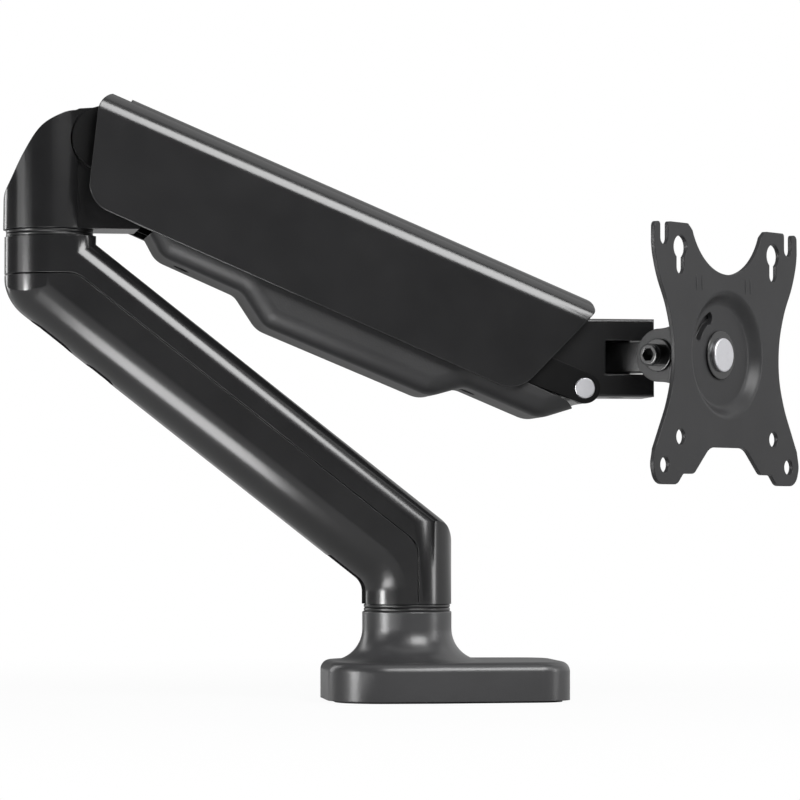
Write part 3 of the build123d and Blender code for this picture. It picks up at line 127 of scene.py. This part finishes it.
def make_handling_wear():
    """Fine rubs and a little dust: long thin streaks and small specks, as two masks."""
    tree = bpy.data.node_groups.new("handling_wear", "ShaderNodeTree")
    given, result = group_sockets(
        tree,
        [("Vector", "NodeSocketVector", (0, 0, 0)), ("Amount", "NodeSocketFloat", 0.5)],
        [("Rubs", "NodeSocketFloat"), ("Specks", "NodeSocketFloat")],
    )
    stretch = tree.nodes.new("ShaderNodeMapping")
    stretch.inputs["Rotation"].default_value = (0.4, 0.2, ARM_YAW)
    stretch.inputs["Scale"].default_value = (14.0, 320.0, 320.0)
    link(tree, given.outputs["Vector"], stretch.inputs["Vector"])
    streak = noise(tree, stretch.outputs["Vector"], 1.0, 3.0, 0.65)
    rubs = spread(tree, streak, 0.60, 0.78, 0.0, 1.0)
    link(tree, math_node(tree, "MULTIPLY", rubs, given.outputs["Amount"]), result.inputs["Rubs"])
    dots = tree.nodes.new("ShaderNodeTexVoronoi")
    dots.inputs["Scale"].default_value = 260.0
    link(tree, given.outputs["Vector"], dots.inputs["Vector"])
    specks = spread(tree, dots.outputs["Distance"], 0.10, 0.03, 0.0, 1.0)
    link(tree, math_node(tree, "MULTIPLY", specks, given.outputs["Amount"]), result.inputs["Specks"])
    return tree


def make_turned_marks():
    """Fine tool marks of turned and drawn metal: a height and a brightness mask."""
    tree = bpy.data.node_groups.new("turned_marks", "ShaderNodeTree")
    given, result = group_sockets(
        tree,
        [("Vector", "NodeSocketVector", (0, 0, 0)), ("Scale", "NodeSocketFloat", 2600.0)],
        [("Height", "NodeSocketFloat"), ("Brightness", "NodeSocketFloat")],
    )
    fine = noise(tree, given.outputs["Vector"], given.outputs["Scale"], 3.0, 0.6)
    broad = noise(tree, given.outputs["Vector"], 160.0, 3.0, 0.6)
    link(tree, fine, result.inputs["Height"])
    link(tree, spread(tree, broad, 0.3, 0.7, 0.0, 1.0), result.inputs["Brightness"])
    return tree


COAT_GRAIN = make_coat_grain()
HANDLING_WEAR = make_handling_wear()
TURNED_MARKS = make_turned_marks()


# Finishes

def place_group(tree, group, vector, **values):
    node = tree.nodes.new("ShaderNodeGroup")
    node.node_tree = group
    link(tree, vector, node.inputs["Vector"])
    for name, value in values.items():
        node.inputs[name.replace("_", " ")].default_value = value
    return node


def mix_colour(tree, factor, first, second):
    node = tree.nodes.new("ShaderNodeMix")
    node.data_type = "RGBA"
    link(tree, factor, node.inputs[0])
    for socket, value in ((node.inputs[6], first), (node.inputs[7], second)):
        if isinstance(value, tuple):
            socket.default_value = (*value, 1.0)
        else:
            link(tree, value, socket)
    return node.outputs[2]


def new_finish(name, metallic, specular):
    material = bpy.data.materials.new(name)
    material.use_nodes = True
    tree = material.node_tree
    shader = tree.nodes["Principled BSDF"]
    shader.inputs["Metallic"].default_value = metallic
    shader.inputs["Specular IOR Level"].default_value = specular
    place = tree.nodes.new("ShaderNodeTexCoord").outputs["Object"]
    return material, tree, shader, place


def bump(tree, shader, height, strength, distance, edge):
    """Fine relief, laid over edges that are rounded by a small radius."""
    rounded = tree.nodes.new("ShaderNodeBevel")
    rounded.samples = 6
    rounded.inputs["Radius"].default_value = edge
    node = tree.nodes.new("ShaderNodeBump")
    link(tree, rounded.outputs["Normal"], node.inputs["Normal"])
    node.inputs["Strength"].default_value = strength
    node.inputs["Distance"].default_value = distance
    link(tree, height, node.inputs["Height"])
    link(tree, node.outputs["Normal"], shader.inputs["Normal"])


def grey(value, tint=1.04):
    return (value, value, value * tint)


def coated(name, dark, light, rough, grain_scale, grain_depth, wear, specular, edge):
    """Painted or moulded black: mottled colour, grain in the gloss and in the relief, faint rubs and dust."""
    material, tree, shader, place = new_finish(name, 0.0, specular)
    dark, light = grey(dark), grey(light)
    grain = place_group(tree, COAT_GRAIN, place, Grain_Scale=grain_scale)
    marks = place_group(tree, HANDLING_WEAR, place, Amount=wear)
    body = mix_colour(tree, grain.outputs["Mottling"], dark, light)
    rubbed = mix_colour(tree, marks.outputs["Rubs"], body, tuple(1.6 * v for v in light))
    dusty = mix_colour(tree, marks.outputs["Specks"], rubbed, (0.05, 0.05, 0.05))
    link(tree, dusty, shader.inputs["Base Color"])
    gloss = spread(tree, grain.outputs["Mottling"], 0.0, 1.0, rough - 0.015, rough + 0.015)
    gloss = math_node(tree, "ADD", gloss, math_node(tree, "MULTIPLY", grain.outputs["Height"], 0.03))
    gloss = math_node(tree, "SUBTRACT", gloss, math_node(tree, "MULTIPLY", marks.outputs["Rubs"], 0.08))
    link(tree, gloss, shader.inputs["Roughness"])
    bump(tree, shader, grain.outputs["Height"], 0.5, grain_depth, edge)
    return material


def bare_metal(name, dark, light, rough, marks_scale, marks_depth):
    """Turned, drawn or plated metal with fine tool marks."""
    material, tree, shader, place = new_finish(name, 1.0, 0.5)
    marks = place_group(tree, TURNED_MARKS, place, Scale=marks_scale)
    wear = place_group(tree, HANDLING_WEAR, place, Amount=0.4)
    body = mix_colour(tree, marks.outputs["Brightness"], dark, light)
    link(tree, mix_colour(tree, wear.outputs["Rubs"], body, light), shader.inputs["Base Color"])
    gloss = spread(tree, marks.outputs["Brightness"], 0.0, 1.0, rough + 0.04, rough - 0.04)
    gloss = math_node(tree, "ADD", gloss, math_node(tree, "MULTIPLY", marks.outputs["Height"], 0.08))
    link(tree, gloss, shader.inputs["Roughness"])
    bump(tree, shader, marks.outputs["Height"], 0.3, marks_depth, 0.0003)
    return material


# Dark and light grey, roughness, grain scale, grain depth, wear, specular level, edge radius; lengths in metres
COATED = {
    "base_paint": (0.024, 0.028, 0.30, 1500, 0.00004, 0.20, 0.50, 0.0006),
    "arm_paint": (0.0065, 0.008, 0.18, 1700, 0.00001, 0.12, 0.50, 0.0003),
    # link_paint is black paint, made darker and duller than the other blacks as painted shade, for the links
    # that sit in shadow inside the arm
    "link_paint": (0.0022, 0.0032, 0.36, 1500, 0.00003, 0.15, 0.12, 0.0006),
    "head_paint": (0.008, 0.0095, 0.22, 1900, 0.00001, 0.12, 0.50, 0.0012),
    "plate_coat": (0.016, 0.019, 0.34, 1300, 0.00004, 0.20, 0.22, 0.0007),
    "cable_plastic": (0.0065, 0.008, 0.20, 1800, 0.00001, 0.12, 0.50, 0.0002),
    "hood_plastic": (0.0085, 0.010, 0.18, 1900, 0.00001, 0.10, 0.50, 0.0007),
    "tray_plastic": (0.012, 0.015, 0.44, 1250, 0.00008, 0.15, 0.30, 0.0006),
    "cap_plastic": (0.014, 0.018, 0.34, 1700, 0.00004, 0.20, 0.50, 0.0006),
    "washer_plastic": (0.006, 0.008, 0.30, 1800, 0.00002, 0.10, 0.50, 0.0006),
    "pad_rubber": (0.012, 0.018, 0.80, 900, 0.00020, 0.40, 0.50, 0.0006),
    "black_steel": (0.006, 0.009, 0.11, 2400, 0.00001, 0.20, 0.60, 0.0004),
    "spring_enamel": (0.008, 0.011, 0.24, 2000, 0.00002, 0.15, 0.50, 0.0006),
}

# Dark and light colour, roughness, scale of the tool marks, depth of the tool marks in metres
BARE = {
    "bush_bronze": ((0.40, 0.27, 0.13), (0.55, 0.39, 0.20), 0.36, 1900, 0.00002),
    "plain_steel": (grey(0.34), grey(0.44), 0.36, 2200, 0.00002),
    "bright_steel": (grey(0.52), grey(0.58), 0.36, 2600, 0.00001),
}

FINISHES = {name: coated(name, *values) for name, values in COATED.items()}
FINISHES.update({name: bare_metal(name, *values) for name, values in BARE.items()})


# Softened edges on the CAD pieces

def make_soft_shading():
    """Join the triangles of a CAD piece and shade it smooth between its real edges."""
    tree = bpy.data.node_groups.new("soft_shading", "GeometryNodeTree")
    tree.interface.new_socket("Geometry", in_out="INPUT", socket_type="NodeSocketGeometry")
    angle = tree.interface.new_socket("Edge Angle", in_out="INPUT", socket_type="NodeSocketFloat")
    angle.default_value = math.radians(28)
    tree.interface.new_socket("Geometry", in_out="OUTPUT", socket_type="NodeSocketGeometry")
    given = tree.nodes.new("NodeGroupInput")
    result = tree.nodes.new("NodeGroupOutput")
    merge = tree.nodes.new("GeometryNodeMergeByDistance")
    merge.inputs["Distance"].default_value = 0.000004
    faces = tree.nodes.new("GeometryNodeSetShadeSmooth")
    faces.domain = "FACE"
    edges = tree.nodes.new("GeometryNodeSetShadeSmooth")
    edges.domain = "EDGE"
    edges.inputs["Shade Smooth"].default_value = False
    bend = tree.nodes.new("GeometryNodeInputMeshEdgeAngle")
    sharp = tree.nodes.new("FunctionNodeCompare")
    sharp.operation = "GREATER_THAN"
    link(tree, given.outputs["Geometry"], merge.inputs["Geometry"])
    link(tree, merge.outputs["Geometry"], faces.inputs["Geometry"])
    link(tree, faces.outputs["Geometry"], edges.inputs["Geometry"])
    link(tree, bend.outputs["Unsigned Angle"], sharp.inputs["A"])
    link(tree, given.outputs["Edge Angle"], sharp.inputs["B"])
    link(tree, sharp.outputs["Result"], edges.inputs["Selection"])
    link(tree, edges.outputs["Geometry"], result.inputs["Geometry"])
    return tree


SOFT_SHADING = make_soft_shading()

slot_of = {row["node"]: row["material_slot"] for row in frame["record"]["subparts"]}
for name, piece in nodes.items():
    piece.data.materials.clear()
    piece.data.materials.append(FINISHES[slot_of[name]])
    smooth = piece.modifiers.new("soft_shading", "NODES")
    smooth.node_group = SOFT_SHADING
    flats = piece.modifiers.new("whole_flats", "DECIMATE")
    flats.decimate_type = "DISSOLVE"
    flats.angle_limit = math.radians(0.3)
    flats.delimit = {"SHARP"}
    even = piece.modifiers.new("even_rounds", "WEIGHTED_NORMAL")
    even.mode = "FACE_AREA"
    even.weight = 80
    even.keep_sharp = True


# Screen plate, pressed from sheet steel: soft dish, rounded lobes and stamped holes

PLATE_MIDDLE = Vector((0.1280, 0.0708, 0.1560))

# Lengths in mm, seen from the front: across to the right and up from the plate's middle
SHEET = 2.0
DISH_SHEET = 2.5
DISH_FLOOR_RADIUS = 22
DISH_RIM_RADIUS = 29.0
DISH_WALL_WIDTH = 6.4
DISH_DEPTH = 4.5
SCREW_HOLE_RADIUS = 3.55
SHORTEST_STEP = 0.05


def arc_points(middle, radius, start, end, count):
    """Points on an arc, angles in degrees."""
    steps = [math.radians(start + (end - start) * i / count) for i in range(count + 1)]
    return [Vector((middle[0] + radius * math.cos(w), middle[1] + radius * math.sin(w))) for w in steps]


def smooth_run(points, count):
    """A flowing line through the given points."""
    given = [Vector(p) for p in points]
    ends = [2 * given[0] - given[1]] + given + [2 * given[-1] - given[-2]]
    run = []
    for a, b, c, d in zip(ends, ends[1:], ends[2:], ends[3:]):
        for i in range(count):
            w = i / count
            run.append(0.5 * (2 * b + (c - a) * w + (2 * a - 5 * b + 4 * c - d) * w ** 2
                              + (3 * b - a - 3 * c + d) * w ** 3))
    return run + [given[-1]]


def rounded_run(rows, count=8):
    """Straight runs between corners given as (across, up, radius)."""
    spots = [Vector(row[:2]) for row in rows]
    run = [spots[0]]
    for i in range(1, len(rows) - 1):
        back = (spots[i - 1] - spots[i]).normalized()
        ahead = (spots[i + 1] - spots[i]).normalized()
        opening = back.angle(ahead)
        cut = rows[i][2] / math.tan(opening / 2)
        middle = spots[i] + (back + ahead).normalized() * rows[i][2] / math.sin(opening / 2)
        first = spots[i] + back * cut - middle
        last = spots[i] + ahead * cut - middle
        turn = math.atan2(first.cross(last), first.dot(last))
        for k in range(count + 1):
            w = turn * k / count
            run.append(middle + Vector((first.x * math.cos(w) - first.y * math.sin(w),
                                        first.x * math.sin(w) + first.y * math.cos(w))))
    return run + [spots[-1]]


def plate_edge():
    """Right half of the plate's edge in mm, from the top notch down to the bottom notch, then mirrored."""
    half = arc_points((0, 66.3), 30.3, -90, -23, 14)
    half += rounded_run([(29.0, 55.5), (31.5, 57.4, 2.0), (46.9, 57.4, 1.6), (46.9, 50.0)])
    half += arc_points((50, 50), 3.1, 180, 360, 12)
    half += rounded_run([(53.1, 50.5), (53.1, 57.0, 1.6), (57.5, 57.0, 2.4), (57.6, 48.0)])
    half += smooth_run([(57.6, 48), (56.6, 42), (53.2, 32.5), (46.6, 20), (42.5, 6), (42.4, -9), (46.3, -22.5),
                        (52.8, -35), (57.2, -43)], 6)[1:]
    half += rounded_run([(57.4, -44), (58.9, -50, 8), (56.2, -58.6, 7), (40.4, -58.6, 5.5), (35.6, -53.8, 2.2),
                         (27.2, -53.8, 4.5), (14.5, -41.8, 9.0), (0, -41.8)])
    left = [Vector((-p.x, p.y)) for p in reversed(half)]
    return half + left


def plate_holes():
    holes = [arc_points((0, 0), 4.3, 0, 360, 40)]
    for side in (1, -1):
        for reach in (50, 37.5):
            holes.append(arc_points((side * reach, -reach), SCREW_HOLE_RADIUS, 0, 360, 32))
        key = arc_points((side * 37.5, 37.5), 3.0, 180, 360, 16)
        key += arc_points((side * 37.5, 46.5), 5.3, -55.5, 235.5, 32)
        holes.append(key)
    tip = math.radians(118)
    eye = arc_points((18.5 * math.cos(tip), 18.5 * math.sin(tip)), 3.0, 73, -107, 20)
    far = math.radians(154)
    end = arc_points((18.5 * math.cos(far), 18.5 * math.sin(far)), 2.2, 334, 154, 12)
    inner, outer = arc_points((0, 0), 16.3, 128, 154, 12), arc_points((0, 0), 20.7, 154, 126, 12)
    holes.append(eye + inner + end + outer)
    return holes


def without_short_steps(ring):
    return [p for p, q in zip(ring, ring[1:] + ring[:1]) if (p - q).length > SHORTEST_STEP]


def dish_depth(reach):
    """How far the sheet is pressed in, in mm, at a distance from the middle."""
    w = min(max((DISH_RIM_RADIUS - reach) / DISH_WALL_WIDTH, 0.0), 1.0)
    return DISH_DEPTH * w * w * (3 - 2 * w)


def inside(ring, spot):
    hit = False
    for p, q in zip(ring, ring[1:] + ring[:1]):
        if (p.y > spot.y) != (q.y > spot.y) and spot.x < (q.x - p.x) * (spot.y - p.y) / (q.y - p.y) + p.x:
            hit = not hit
    return hit


def press_plate():
    """Cut the sheet, press the dish and give it its thickness."""
    rings = [without_short_steps(plate_edge())]
    rings += [without_short_steps(without_short_steps(ring)) for ring in plate_holes()]
    spots, lines = [], []
    for ring in rings:
        first = len(spots)
        spots += ring
        lines += [(first + i, first + (i + 1) % len(ring)) for i in range(len(ring))]
    fill = [p for r in range(24) for p in arc_points((0, 0), 21.5 + 0.35 * r, 0, 357, 119)]
    fill += [p for r in (7, 10, 13, 17, 33, 37) for p in arc_points((0, 0), r, 0, 354, 59)]
    for p in fill:
        if inside(rings[0], p) and not any(inside(ring, p) for ring in rings[1:]):
            if min((p - q).length for ring in rings for q in ring) > 0.3:
                spots.append(p)
    flat, _, tris, *_ = geometry.delaunay_2d_cdt(spots, lines, [], 0, 0.001)
    keep = []
    for tri in tris:
        heart = sum((flat[i] for i in tri), Vector((0, 0))) / 3
        if inside(rings[0], heart) and not any(inside(ring, heart) for ring in rings[1:]):
            keep.append(tri)
    front, back = [], []
    for p in flat:
        depth = dish_depth(p.length)
        thick = DISH_SHEET if p.length < DISH_FLOOR_RADIUS else SHEET
        for rows, shift in ((front, depth), (back, depth + thick)):
            rows.append(PLATE_MIDDLE + Vector((-shift, p.x, p.y)) * MM)
    used = {}
    for tri in keep:
        for a, b in zip(tri, tri[1:] + tri[:1]):
            used[(a, b)] = True
    walls = [(b, a, a + len(flat), b + len(flat)) for a, b in used if (b, a) not in used]
    faces = [tuple(tri) for tri in keep]
    faces += [tuple(i + len(flat) for i in reversed(tri)) for tri in keep]
    faces += walls
    mesh = bpy.data.meshes.new("pressed_plate")
    mesh.from_pydata(front + back, [], faces)
    body = bmesh.new()
    body.from_mesh(mesh)
    bmesh.ops.delete(body, geom=[v for v in body.verts if not v.link_faces], context="VERTS")
    bmesh.ops.recalc_face_normals(body, faces=body.faces)
    for edge in body.edges:
        edge.smooth = edge.calc_face_angle(0.0) < math.radians(30)
    for face in body.faces:
        face.smooth = True
    body.to_mesh(mesh)
    body.free()
    mesh.materials.append(FINISHES["plate_coat"])
    piece = bpy.data.objects.new("pressed_plate", mesh)
    scene.collection.objects.link(piece)
    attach(piece, "plate")
    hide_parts("screen_plate")


press_plate()


# Small repeated details

def start_tree(name, inputs):
    """A Geometry Nodes tree with named inputs for its sizes and finish."""
    tree = bpy.data.node_groups.new(name, "GeometryNodeTree")
    tree.interface.new_socket("Geometry", in_out="INPUT", socket_type="NodeSocketGeometry")
    for label, kind in inputs:
        tree.interface.new_socket(label, in_out="INPUT", socket_type=kind)
    tree.interface.new_socket("Geometry", in_out="OUTPUT", socket_type="NodeSocketGeometry")
    return tree, tree.nodes.new("NodeGroupInput"), tree.nodes.new("NodeGroupOutput")


def end_tree(tree, given, result, instances):
    """Make the copies real, give them their finish and smooth faces."""
    real = tree.nodes.new("GeometryNodeRealizeInstances")
    soft = tree.nodes.new("GeometryNodeSetShadeSmooth")
    finish = tree.nodes.new("GeometryNodeSetMaterial")
    link(tree, instances, real.inputs["Geometry"])
    link(tree, real.outputs["Geometry"], soft.inputs["Geometry"])
    link(tree, soft.outputs["Geometry"], finish.inputs["Geometry"])
    link(tree, given.outputs["Finish"], finish.inputs["Material"])
    link(tree, finish.outputs["Geometry"], result.inputs["Geometry"])
    return tree


def make_pressed_lines():
    """A short rounded line, standing upright, at each point."""
    tree, given, result = start_tree("pressed_lines", [
        ("Length", "NodeSocketFloat"), ("Radius", "NodeSocketFloat"), ("Finish", "NodeSocketMaterial")])
    bead = tree.nodes.new("GeometryNodeMeshUVSphere")
    bead.inputs["Segments"].default_value = 12
    bead.inputs["Rings"].default_value = 8
    stretch = tree.nodes.new("ShaderNodeCombineXYZ")
    for axis, label in (("X", "Radius"), ("Y", "Radius"), ("Z", "Length")):
        link(tree, given.outputs[label], stretch.inputs[axis])
    copies = tree.nodes.new("GeometryNodeInstanceOnPoints")
    link(tree, given.outputs["Geometry"], copies.inputs["Points"])
    link(tree, bead.outputs["Mesh"], copies.inputs["Instance"])
    link(tree, stretch.outputs["Vector"], copies.inputs["Scale"])
    return end_tree(tree, given, result, copies.outputs["Instances"])


def make_ring_of_ridges():
    """Straight knurling: ridges round a turned head, lying along its axis."""
    tree, given, result = start_tree("ring_of_ridges", [
        ("Count", "NodeSocketInt"), ("Radius", "NodeSocketFloat"), ("Length", "NodeSocketFloat"),
        ("Ridge", "NodeSocketFloat"), ("Turn", "NodeSocketRotation"), ("Finish", "NodeSocketMaterial")])
    circle = tree.nodes.new("GeometryNodeMeshCircle")
    link(tree, given.outputs["Count"], circle.inputs["Vertices"])
    link(tree, given.outputs["Radius"], circle.inputs["Radius"])
    ridge = tree.nodes.new("GeometryNodeMeshCylinder")
    ridge.inputs["Vertices"].default_value = 6
    link(tree, given.outputs["Ridge"], ridge.inputs["Radius"])
    link(tree, given.outputs["Length"], ridge.inputs["Depth"])
    ring = tree.nodes.new("GeometryNodeInstanceOnPoints")
    link(tree, circle.outputs["Mesh"], ring.inputs["Points"])
    link(tree, ridge.outputs["Mesh"], ring.inputs["Instance"])
    copies = tree.nodes.new("GeometryNodeInstanceOnPoints")
    link(tree, given.outputs["Geometry"], copies.inputs["Points"])
    link(tree, ring.outputs["Instances"], copies.inputs["Instance"])
    link(tree, given.outputs["Turn"], copies.inputs["Rotation"])
    return end_tree(tree, given, result, copies.outputs["Instances"])


def make_thread_turns():
    """Crests of a screw thread: thin rings in a row."""
    tree, given, result = start_tree("thread_turns", [
        ("Turns", "NodeSocketInt"), ("Pitch", "NodeSocketFloat"), ("Radius", "NodeSocketFloat"),
        ("Crest", "NodeSocketFloat"), ("Turn", "NodeSocketRotation"), ("Finish", "NodeSocketMaterial")])
    path = tree.nodes.new("GeometryNodeCurvePrimitiveCircle")
    path.inputs["Resolution"].default_value = 36
    link(tree, given.outputs["Radius"], path.inputs["Radius"])
    crest = tree.nodes.new("GeometryNodeCurvePrimitiveCircle")
    crest.inputs["Resolution"].default_value = 6
    link(tree, given.outputs["Crest"], crest.inputs["Radius"])
    ring = tree.nodes.new("GeometryNodeCurveToMesh")
    link(tree, path.outputs["Curve"], ring.inputs["Curve"])
    link(tree, crest.outputs["Curve"], ring.inputs["Profile Curve"])
    step = tree.nodes.new("ShaderNodeCombineXYZ")
    link(tree, given.outputs["Pitch"], step.inputs["Z"])
    row = tree.nodes.new("GeometryNodeMeshLine")
    link(tree, given.outputs["Turns"], row.inputs["Count"])
    link(tree, step.outputs["Vector"], row.inputs["Offset"])
    turns = tree.nodes.new("GeometryNodeInstanceOnPoints")
    link(tree, row.outputs["Mesh"], turns.inputs["Points"])
    link(tree, ring.outputs["Mesh"], turns.inputs["Instance"])
    copies = tree.nodes.new("GeometryNodeInstanceOnPoints")
    link(tree, given.outputs["Geometry"], copies.inputs["Points"])
    link(tree, turns.outputs["Instances"], copies.inputs["Instance"])
    link(tree, given.outputs["Turn"], copies.inputs["Rotation"])
    return end_tree(tree, given, result, copies.outputs["Instances"])


def grow(name, tree, places, body, slot, **sizes):
    """Run a tree on points given in metres, keep the result as a plain mesh and let it ride on its body."""
    seed = bpy.data.meshes.new(name + "_points")
    seed.from_pydata(places, [], [])
    holder = bpy.data.objects.new(name + "_points", seed)
    scene.collection.objects.link(holder)
    maker = holder.modifiers.new(name, "NODES")
    maker.node_group = tree
    sizes["Finish"] = FINISHES[slot]
    for socket in tree.interface.items_tree:
        if socket.in_out == "INPUT" and socket.name in sizes:
            maker[socket.identifier] = sizes[socket.name]
    shape = bpy.data.meshes.new_from_object(holder.evaluated_get(bpy.context.evaluated_depsgraph_get()))
    bpy.data.objects.remove(holder)
    shape.name = name
    piece = bpy.data.objects.new(name, shape)
    scene.collection.objects.link(piece)
    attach(piece, body)


def on_plate(across, up, proud):
    return PLATE_MIDDLE + Vector((proud, across, up)) * MM


PRESSED_LINES = make_pressed_lines()
RING_OF_RIDGES = make_ring_of_ridges()
THREAD_TURNS = make_thread_turns()
ALONG_TILT_AXIS = (-math.pi / 2, 0.0, 0.0)

grow("plate_marks", PRESSED_LINES,
     [on_plate(across, 31.5, -0.15) for across in (-24.8, -20.4, 14.6, 18.6)],
     "plate", "plate_coat", Length=0.0040, Radius=0.00042)
grow("tilt_bolt_knurl", RING_OF_RIDGES, [(0.1020, 0.0491, 0.1560)], "tilt_frame", "black_steel",
     Count=44, Radius=0.00478, Length=0.0048, Ridge=0.00022, Turn=ALONG_TILT_AXIS)
grow("tilt_bolt_thread", THREAD_TURNS, [(0.1020, 0.0955, 0.1560)], "tilt_frame", "black_steel",
     Turns=3, Pitch=0.0007, Radius=0.0040, Crest=0.00026, Turn=ALONG_TILT_AXIS)


# Stage

# Light levels: fill from all round, floor in the shiny pieces, dim end and back of the studio in them
FILL = 0.35
MIRRORED_FLOOR = 0.14
DIM_END = 0.06
BACK_END = 0.12


def flat_sheet(name, half, height):
    mesh = bpy.data.meshes.new(name)
    corners = [(x * half, y * half, height) for x, y in ((-1, -1), (1, -1), (1, 1), (-1, 1))]
    mesh.from_pydata(corners, [], [(0, 1, 2, 3)])
    piece = bpy.data.objects.new(name, mesh)
    scene.collection.objects.link(piece)
    return piece


def ray_kinds(tree):
    """1 for the rays that see the stage itself, and 1 for the rays that mirror it."""
    path = tree.nodes.new("ShaderNodeLightPath")
    direct = math_node(tree, "MAXIMUM", path.outputs["Is Camera Ray"], path.outputs["Is Transmission Ray"])
    return direct, path.outputs["Is Glossy Ray"]


def towards(tree, way, axis):
    """How far a direction points along the given axis."""
    node = tree.nodes.new("ShaderNodeVectorMath")
    node.operation = "DOT_PRODUCT"
    node.inputs[1].default_value = axis
    link(tree, way, node.inputs[0])
    return node.outputs["Value"]


def dress_floor(piece):
    """White paper: it keeps a soft shadow round the object and runs out into pure white."""
    paper = bpy.data.materials.new("studio_paper")
    paper.use_nodes = True
    tree = paper.node_tree
    tree.nodes.clear()
    end = tree.nodes.new("ShaderNodeOutputMaterial")
    mix = tree.nodes.new("ShaderNodeMixShader")
    matt = tree.nodes.new("ShaderNodeBsdfDiffuse")
    matt.inputs["Color"].default_value = (0.45, 0.45, 0.45, 1)
    glow = tree.nodes.new("ShaderNodeEmission")
    reach = tree.nodes.new("ShaderNodeVectorMath")
    reach.operation = "LENGTH"
    link(tree, tree.nodes.new("ShaderNodeTexCoord").outputs["Object"], reach.inputs[0])
    share = spread(tree, reach.outputs["Value"], 0.18, 0.60, 0.95, 1.0)
    direct, mirrored = ray_kinds(tree)
    white = math_node(tree, "MAXIMUM", direct, math_node(tree, "MULTIPLY", mirrored, MIRRORED_FLOOR))
    link(tree, math_node(tree, "MULTIPLY", white, share), mix.inputs[0])
    link(tree, matt.outputs[0], mix.inputs[1])
    link(tree, glow.outputs[0], mix.inputs[2])
    link(tree, mix.outputs[0], end.inputs["Surface"])
    piece.data.materials.append(paper)


def dress_world():
    """White all round for the camera; shiny black shows the dim end of the studio, behind the camera."""
    world = bpy.data.worlds.new("studio_white")
    scene.world = world
    world.use_nodes = True
    tree = world.node_tree
    background = tree.nodes["Background"]
    background.inputs["Color"].default_value = (1, 1, 1, 1)
    way = tree.nodes.new("ShaderNodeTexCoord").outputs["Generated"]
    room = spread(tree, towards(tree, way, (0.70, -0.70, 0.05)), 0.25, 0.75, 1.0, DIM_END)
    sweep = spread(tree, towards(tree, way, (0.78, 0.62, 0.0)), -0.2, 0.6, BACK_END, 1.0)
    around = math_node(tree, "SUBTRACT", math_node(tree, "MULTIPLY", room, sweep), FILL)
    direct, mirrored = ray_kinds(tree)
    white = math_node(tree, "MULTIPLY", direct, 1.0 - FILL)
    shown = math_node(tree, "MULTIPLY", mirrored, around)
    level = math_node(tree, "ADD", math_node(tree, "ADD", white, shown), FILL)
    link(tree, level, background.inputs["Strength"])


dress_floor(flat_sheet("studio_floor", 8.0, -0.0002))
dress_world()


# Soft lamps

def soft_lamp(name, place, turn, size, power):
    lamp = bpy.data.lights.new(name, "AREA")
    lamp.shape = "RECTANGLE"
    lamp.size, lamp.size_y = size
    lamp.energy = power
    holder = bpy.data.objects.new(name, lamp)
    scene.collection.objects.link(holder)
    holder.location = place
    holder.rotation_euler = turn
    holder.visible_camera = False


# Level lamps, lying along the arm: place, size, power, facing up
LEVEL_LAMPS = {
    "overhead_strip": ((0.10, 0.20, 1.30), (2.4, 1.0), 5.5, False),
    "table_patch": ((0.004, -0.2725, 0.003), (0.155, 0.17), 1.02, True),
}

# Aimed lamps: place, aim, size, power
AIMED_LAMPS = {
    "right_front_strip": ((1.10, -0.40, 0.92), (0, 0, 0.15), (0.90, 0.66), 26.0),
    "front_left_box": ((-0.90, -1.33, 0.45), (0, 0, 0.12), (0.60, 0.90), 3.2),
    "low_left_box": ((-0.50, -1.30, 0.10), (0, 0, 0.10), (0.30, 0.18), 9.0),
    "right_box": ((1.29, 0.55, 0.30), (0, 0, 0.15), (0.20, 1.0), 6.0),
    "left_box": ((-1.4, 0.1, 0.4), (-0.1, -0.1, 0.15), (0.3, 1.2), 4.0),
}

for name, (place, size, power, upwards) in LEVEL_LAMPS.items():
    soft_lamp(name, place, (math.pi if upwards else 0.0, 0.0, ARM_YAW), size, power)
for name, (place, aim, size, power) in AIMED_LAMPS.items():
    facing = Vector(aim) - Vector(place)
    soft_lamp(name, place, facing.to_track_quat("-Z", "Y").to_euler(), size, power)


# Camera

lens = bpy.data.cameras.new("photo_camera")
lens.lens = 174.8
lens.sensor_width = 36.0
camera = bpy.data.objects.new("photo_camera", lens)
scene.collection.objects.link(camera)
camera.location = (1.0963, -1.3883, 0.0773)
UPWARDS = math.radians(1.917)
view_way = Vector((-0.6211 * math.cos(UPWARDS), 0.7837 * math.cos(UPWARDS), math.sin(UPWARDS)))
camera.rotation_euler = view_way.to_track_quat("-Z", "Y").to_euler()
scene.camera = camera

scene.view_settings.view_transform = "Standard"
